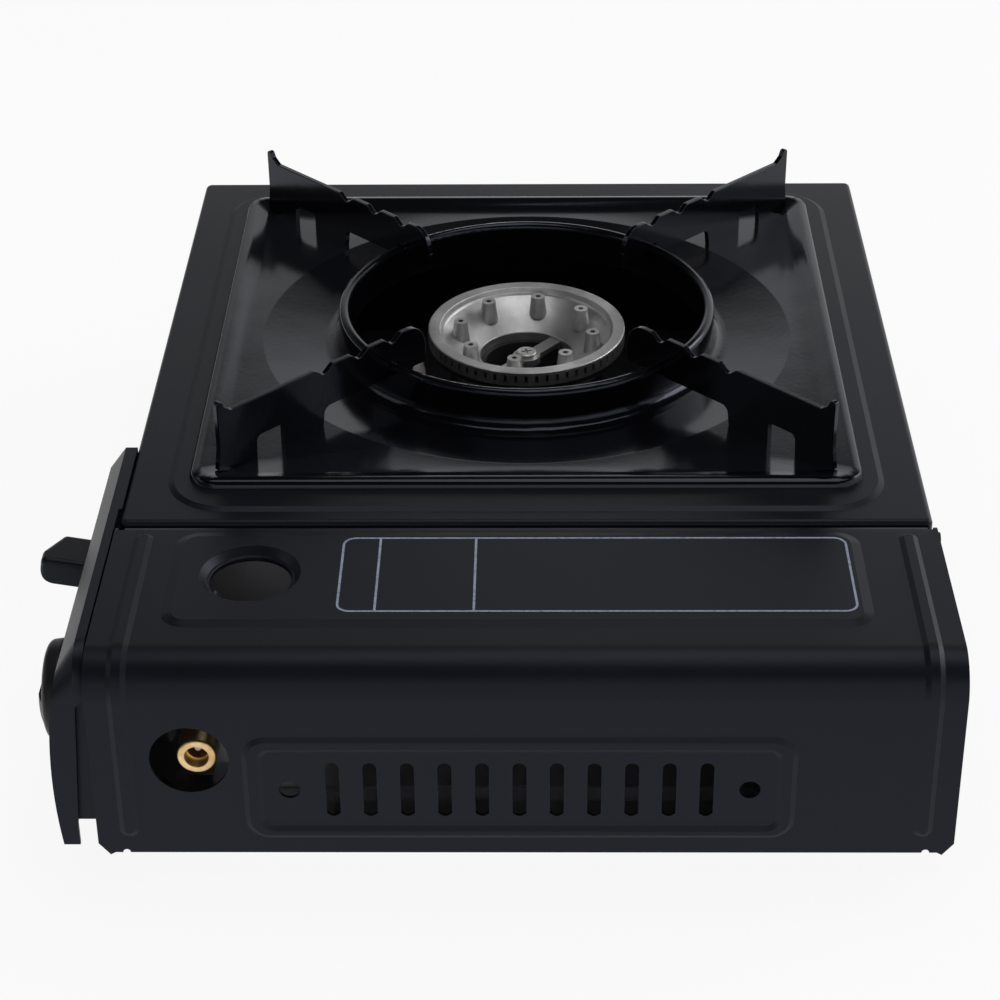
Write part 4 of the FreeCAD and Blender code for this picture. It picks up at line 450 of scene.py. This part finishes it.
def screen_ink(name, color):
    """Thin screen ink: a little uneven where the coat's grain shows through."""
    finish = Finish(name, color, 0.5, Specular_IOR_Level=0.3)
    cover = finish.ramp(finish.noise(900.0, detail=3.0, roughness=0.6), 0.30, 0.55)
    finish.set("Base Color", finish.blend(cover, shade_of(color, 0.55), color))
    finish.set("Roughness", 0.46 + cover * 0.12)
    return finish.material


frame_print = printed_frame()
frame_print.data.materials.append(screen_ink("grey_ink", (0.26, 0.30, 0.40)))
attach(frame_print, "cover")
print("printed frame:", len(frame_print.data.polygons), "faces")

# %% [markdown]
# ## Floor
# The floor is a plain pale sheet that takes the stove's soft shadow. To the camera and to
# mirrors it also glows a little, through a mix with an Emission shader, so that it runs into
# the white behind it and yet throws no more light on the stove.

# %% Floor
floor_size = 12.0
floor_gap = 0.0002
floor_glow = 0.90


def seen_directly(nodes):
    """1 for camera, mirror and glass rays, 0 for the rays that carry light."""
    rays = nodes.node("ShaderNodeLightPath")
    return rays["Is Camera Ray"].or_more(rays["Is Glossy Ray"]).or_more(rays["Is Transmission Ray"])


def pale_paper(name, color):
    """Paper that glows to the rays that see it directly."""
    finish = Finish(name, color, 0.7)
    surface = Value(finish, finish.shader.outputs["BSDF"])
    glow = finish.node("ShaderNodeEmission")["Emission"]
    share = seen_directly(finish) * floor_glow
    both = finish.node("ShaderNodeMixShader", None, {"Fac": share, 1: surface, 2: glow})
    finish.feed(finish.tree.nodes["Material Output"].inputs["Surface"], both["Shader"])
    return finish.material


mesh = bpy.data.meshes.new("floor")
shape = bmesh.new()
bmesh.ops.create_grid(shape, x_segments=1, y_segments=1, size=floor_size / 2)
shape.to_mesh(mesh)
shape.free()
floor = bpy.data.objects.new("floor", mesh)
bpy.context.scene.collection.objects.link(floor)
floor.location.z = -floor_gap
floor.data.materials.append(pale_paper("floor_paper", (0.80, 0.80, 0.80)))
print("floor", floor_size, "m square")

# %% [markdown]
# ## Background
# The background is pure white to the camera. Black enamel shows its shape only by what it
# mirrors, so mirror rays see a studio instead: a white band low down, brighter towards the
# right-hand side, under a dark ceiling. The rays that carry light see one even, modest grey.

# %% Background
light_level = 0.42
mirror_low = 0.42
mirror_high = 0.57
mirror_ceiling = 0.04
mirror_left = -0.72
mirror_right = 0.15
mirror_left_level = 0.12

world = bpy.data.worlds.new("studio")
bpy.context.scene.world = world
world.use_nodes = True
sky = Nodes(world.node_tree)
way = sky.node("ShaderNodeSeparateXYZ", None, {0: sky.node("ShaderNodeTexCoord")["Generated"]})
low_band = sky.ramp(way["Z"], mirror_low, mirror_high, 1.0, mirror_ceiling)
right_hand = sky.ramp(way["Y"], mirror_left, mirror_right, mirror_left_level, 1.0)
rays = sky.node("ShaderNodeLightPath")
unseen = sky.mix(rays["Is Glossy Ray"], light_level, low_band * right_hand)
direct = rays["Is Camera Ray"].or_more(rays["Is Transmission Ray"])
background = sky.tree.nodes["Background"]
sky.feed(background.inputs["Color"], (1.0, 1.0, 1.0))
sky.feed(background.inputs["Strength"], sky.mix(direct, unseen, 1.0))
print("background", len(sky.tree.nodes), "nodes")

# %% [markdown]
# ## Lamps
# Four large soft lamps shape the black surfaces: one overhead, a strong one from the right
# that draws the bends, and two faint ones that open the shadows at the left and in front.

# %% Soft lamps
stove_middle = Vector((0.0, 0.0, 0.05))


def soft_lamp(name, place, width, height, watts):
    """A rectangular lamp that faces the stove."""
    lamp = bpy.data.lights.new(name, "AREA")
    lamp.shape = "RECTANGLE"
    lamp.size = width
    lamp.size_y = height
    lamp.energy = watts
    holder = bpy.data.objects.new(name, lamp)
    bpy.context.scene.collection.objects.link(holder)
    holder.location = place
    holder.rotation_mode = "QUATERNION"
    holder.rotation_quaternion = (stove_middle - Vector(place)).to_track_quat("-Z", "Y")


soft_lamp("top_softbox", (-0.2, 0.2, 2.0), width=1.2, height=1.2, watts=9.0)
soft_lamp("left_softbox", (0.2, -1.6, 0.9), width=1.2, height=0.7, watts=2.0)
soft_lamp("right_softbox", (-0.5, 1.5, 0.8), width=1.2, height=0.7, watts=10.0)
soft_lamp("near_softbox", (1.9, -0.3, 0.9), width=1.6, height=0.7, watts=1.2)
bpy.context.scene.view_settings.view_transform = "Standard"
print("lamps:", len(bpy.data.lights))
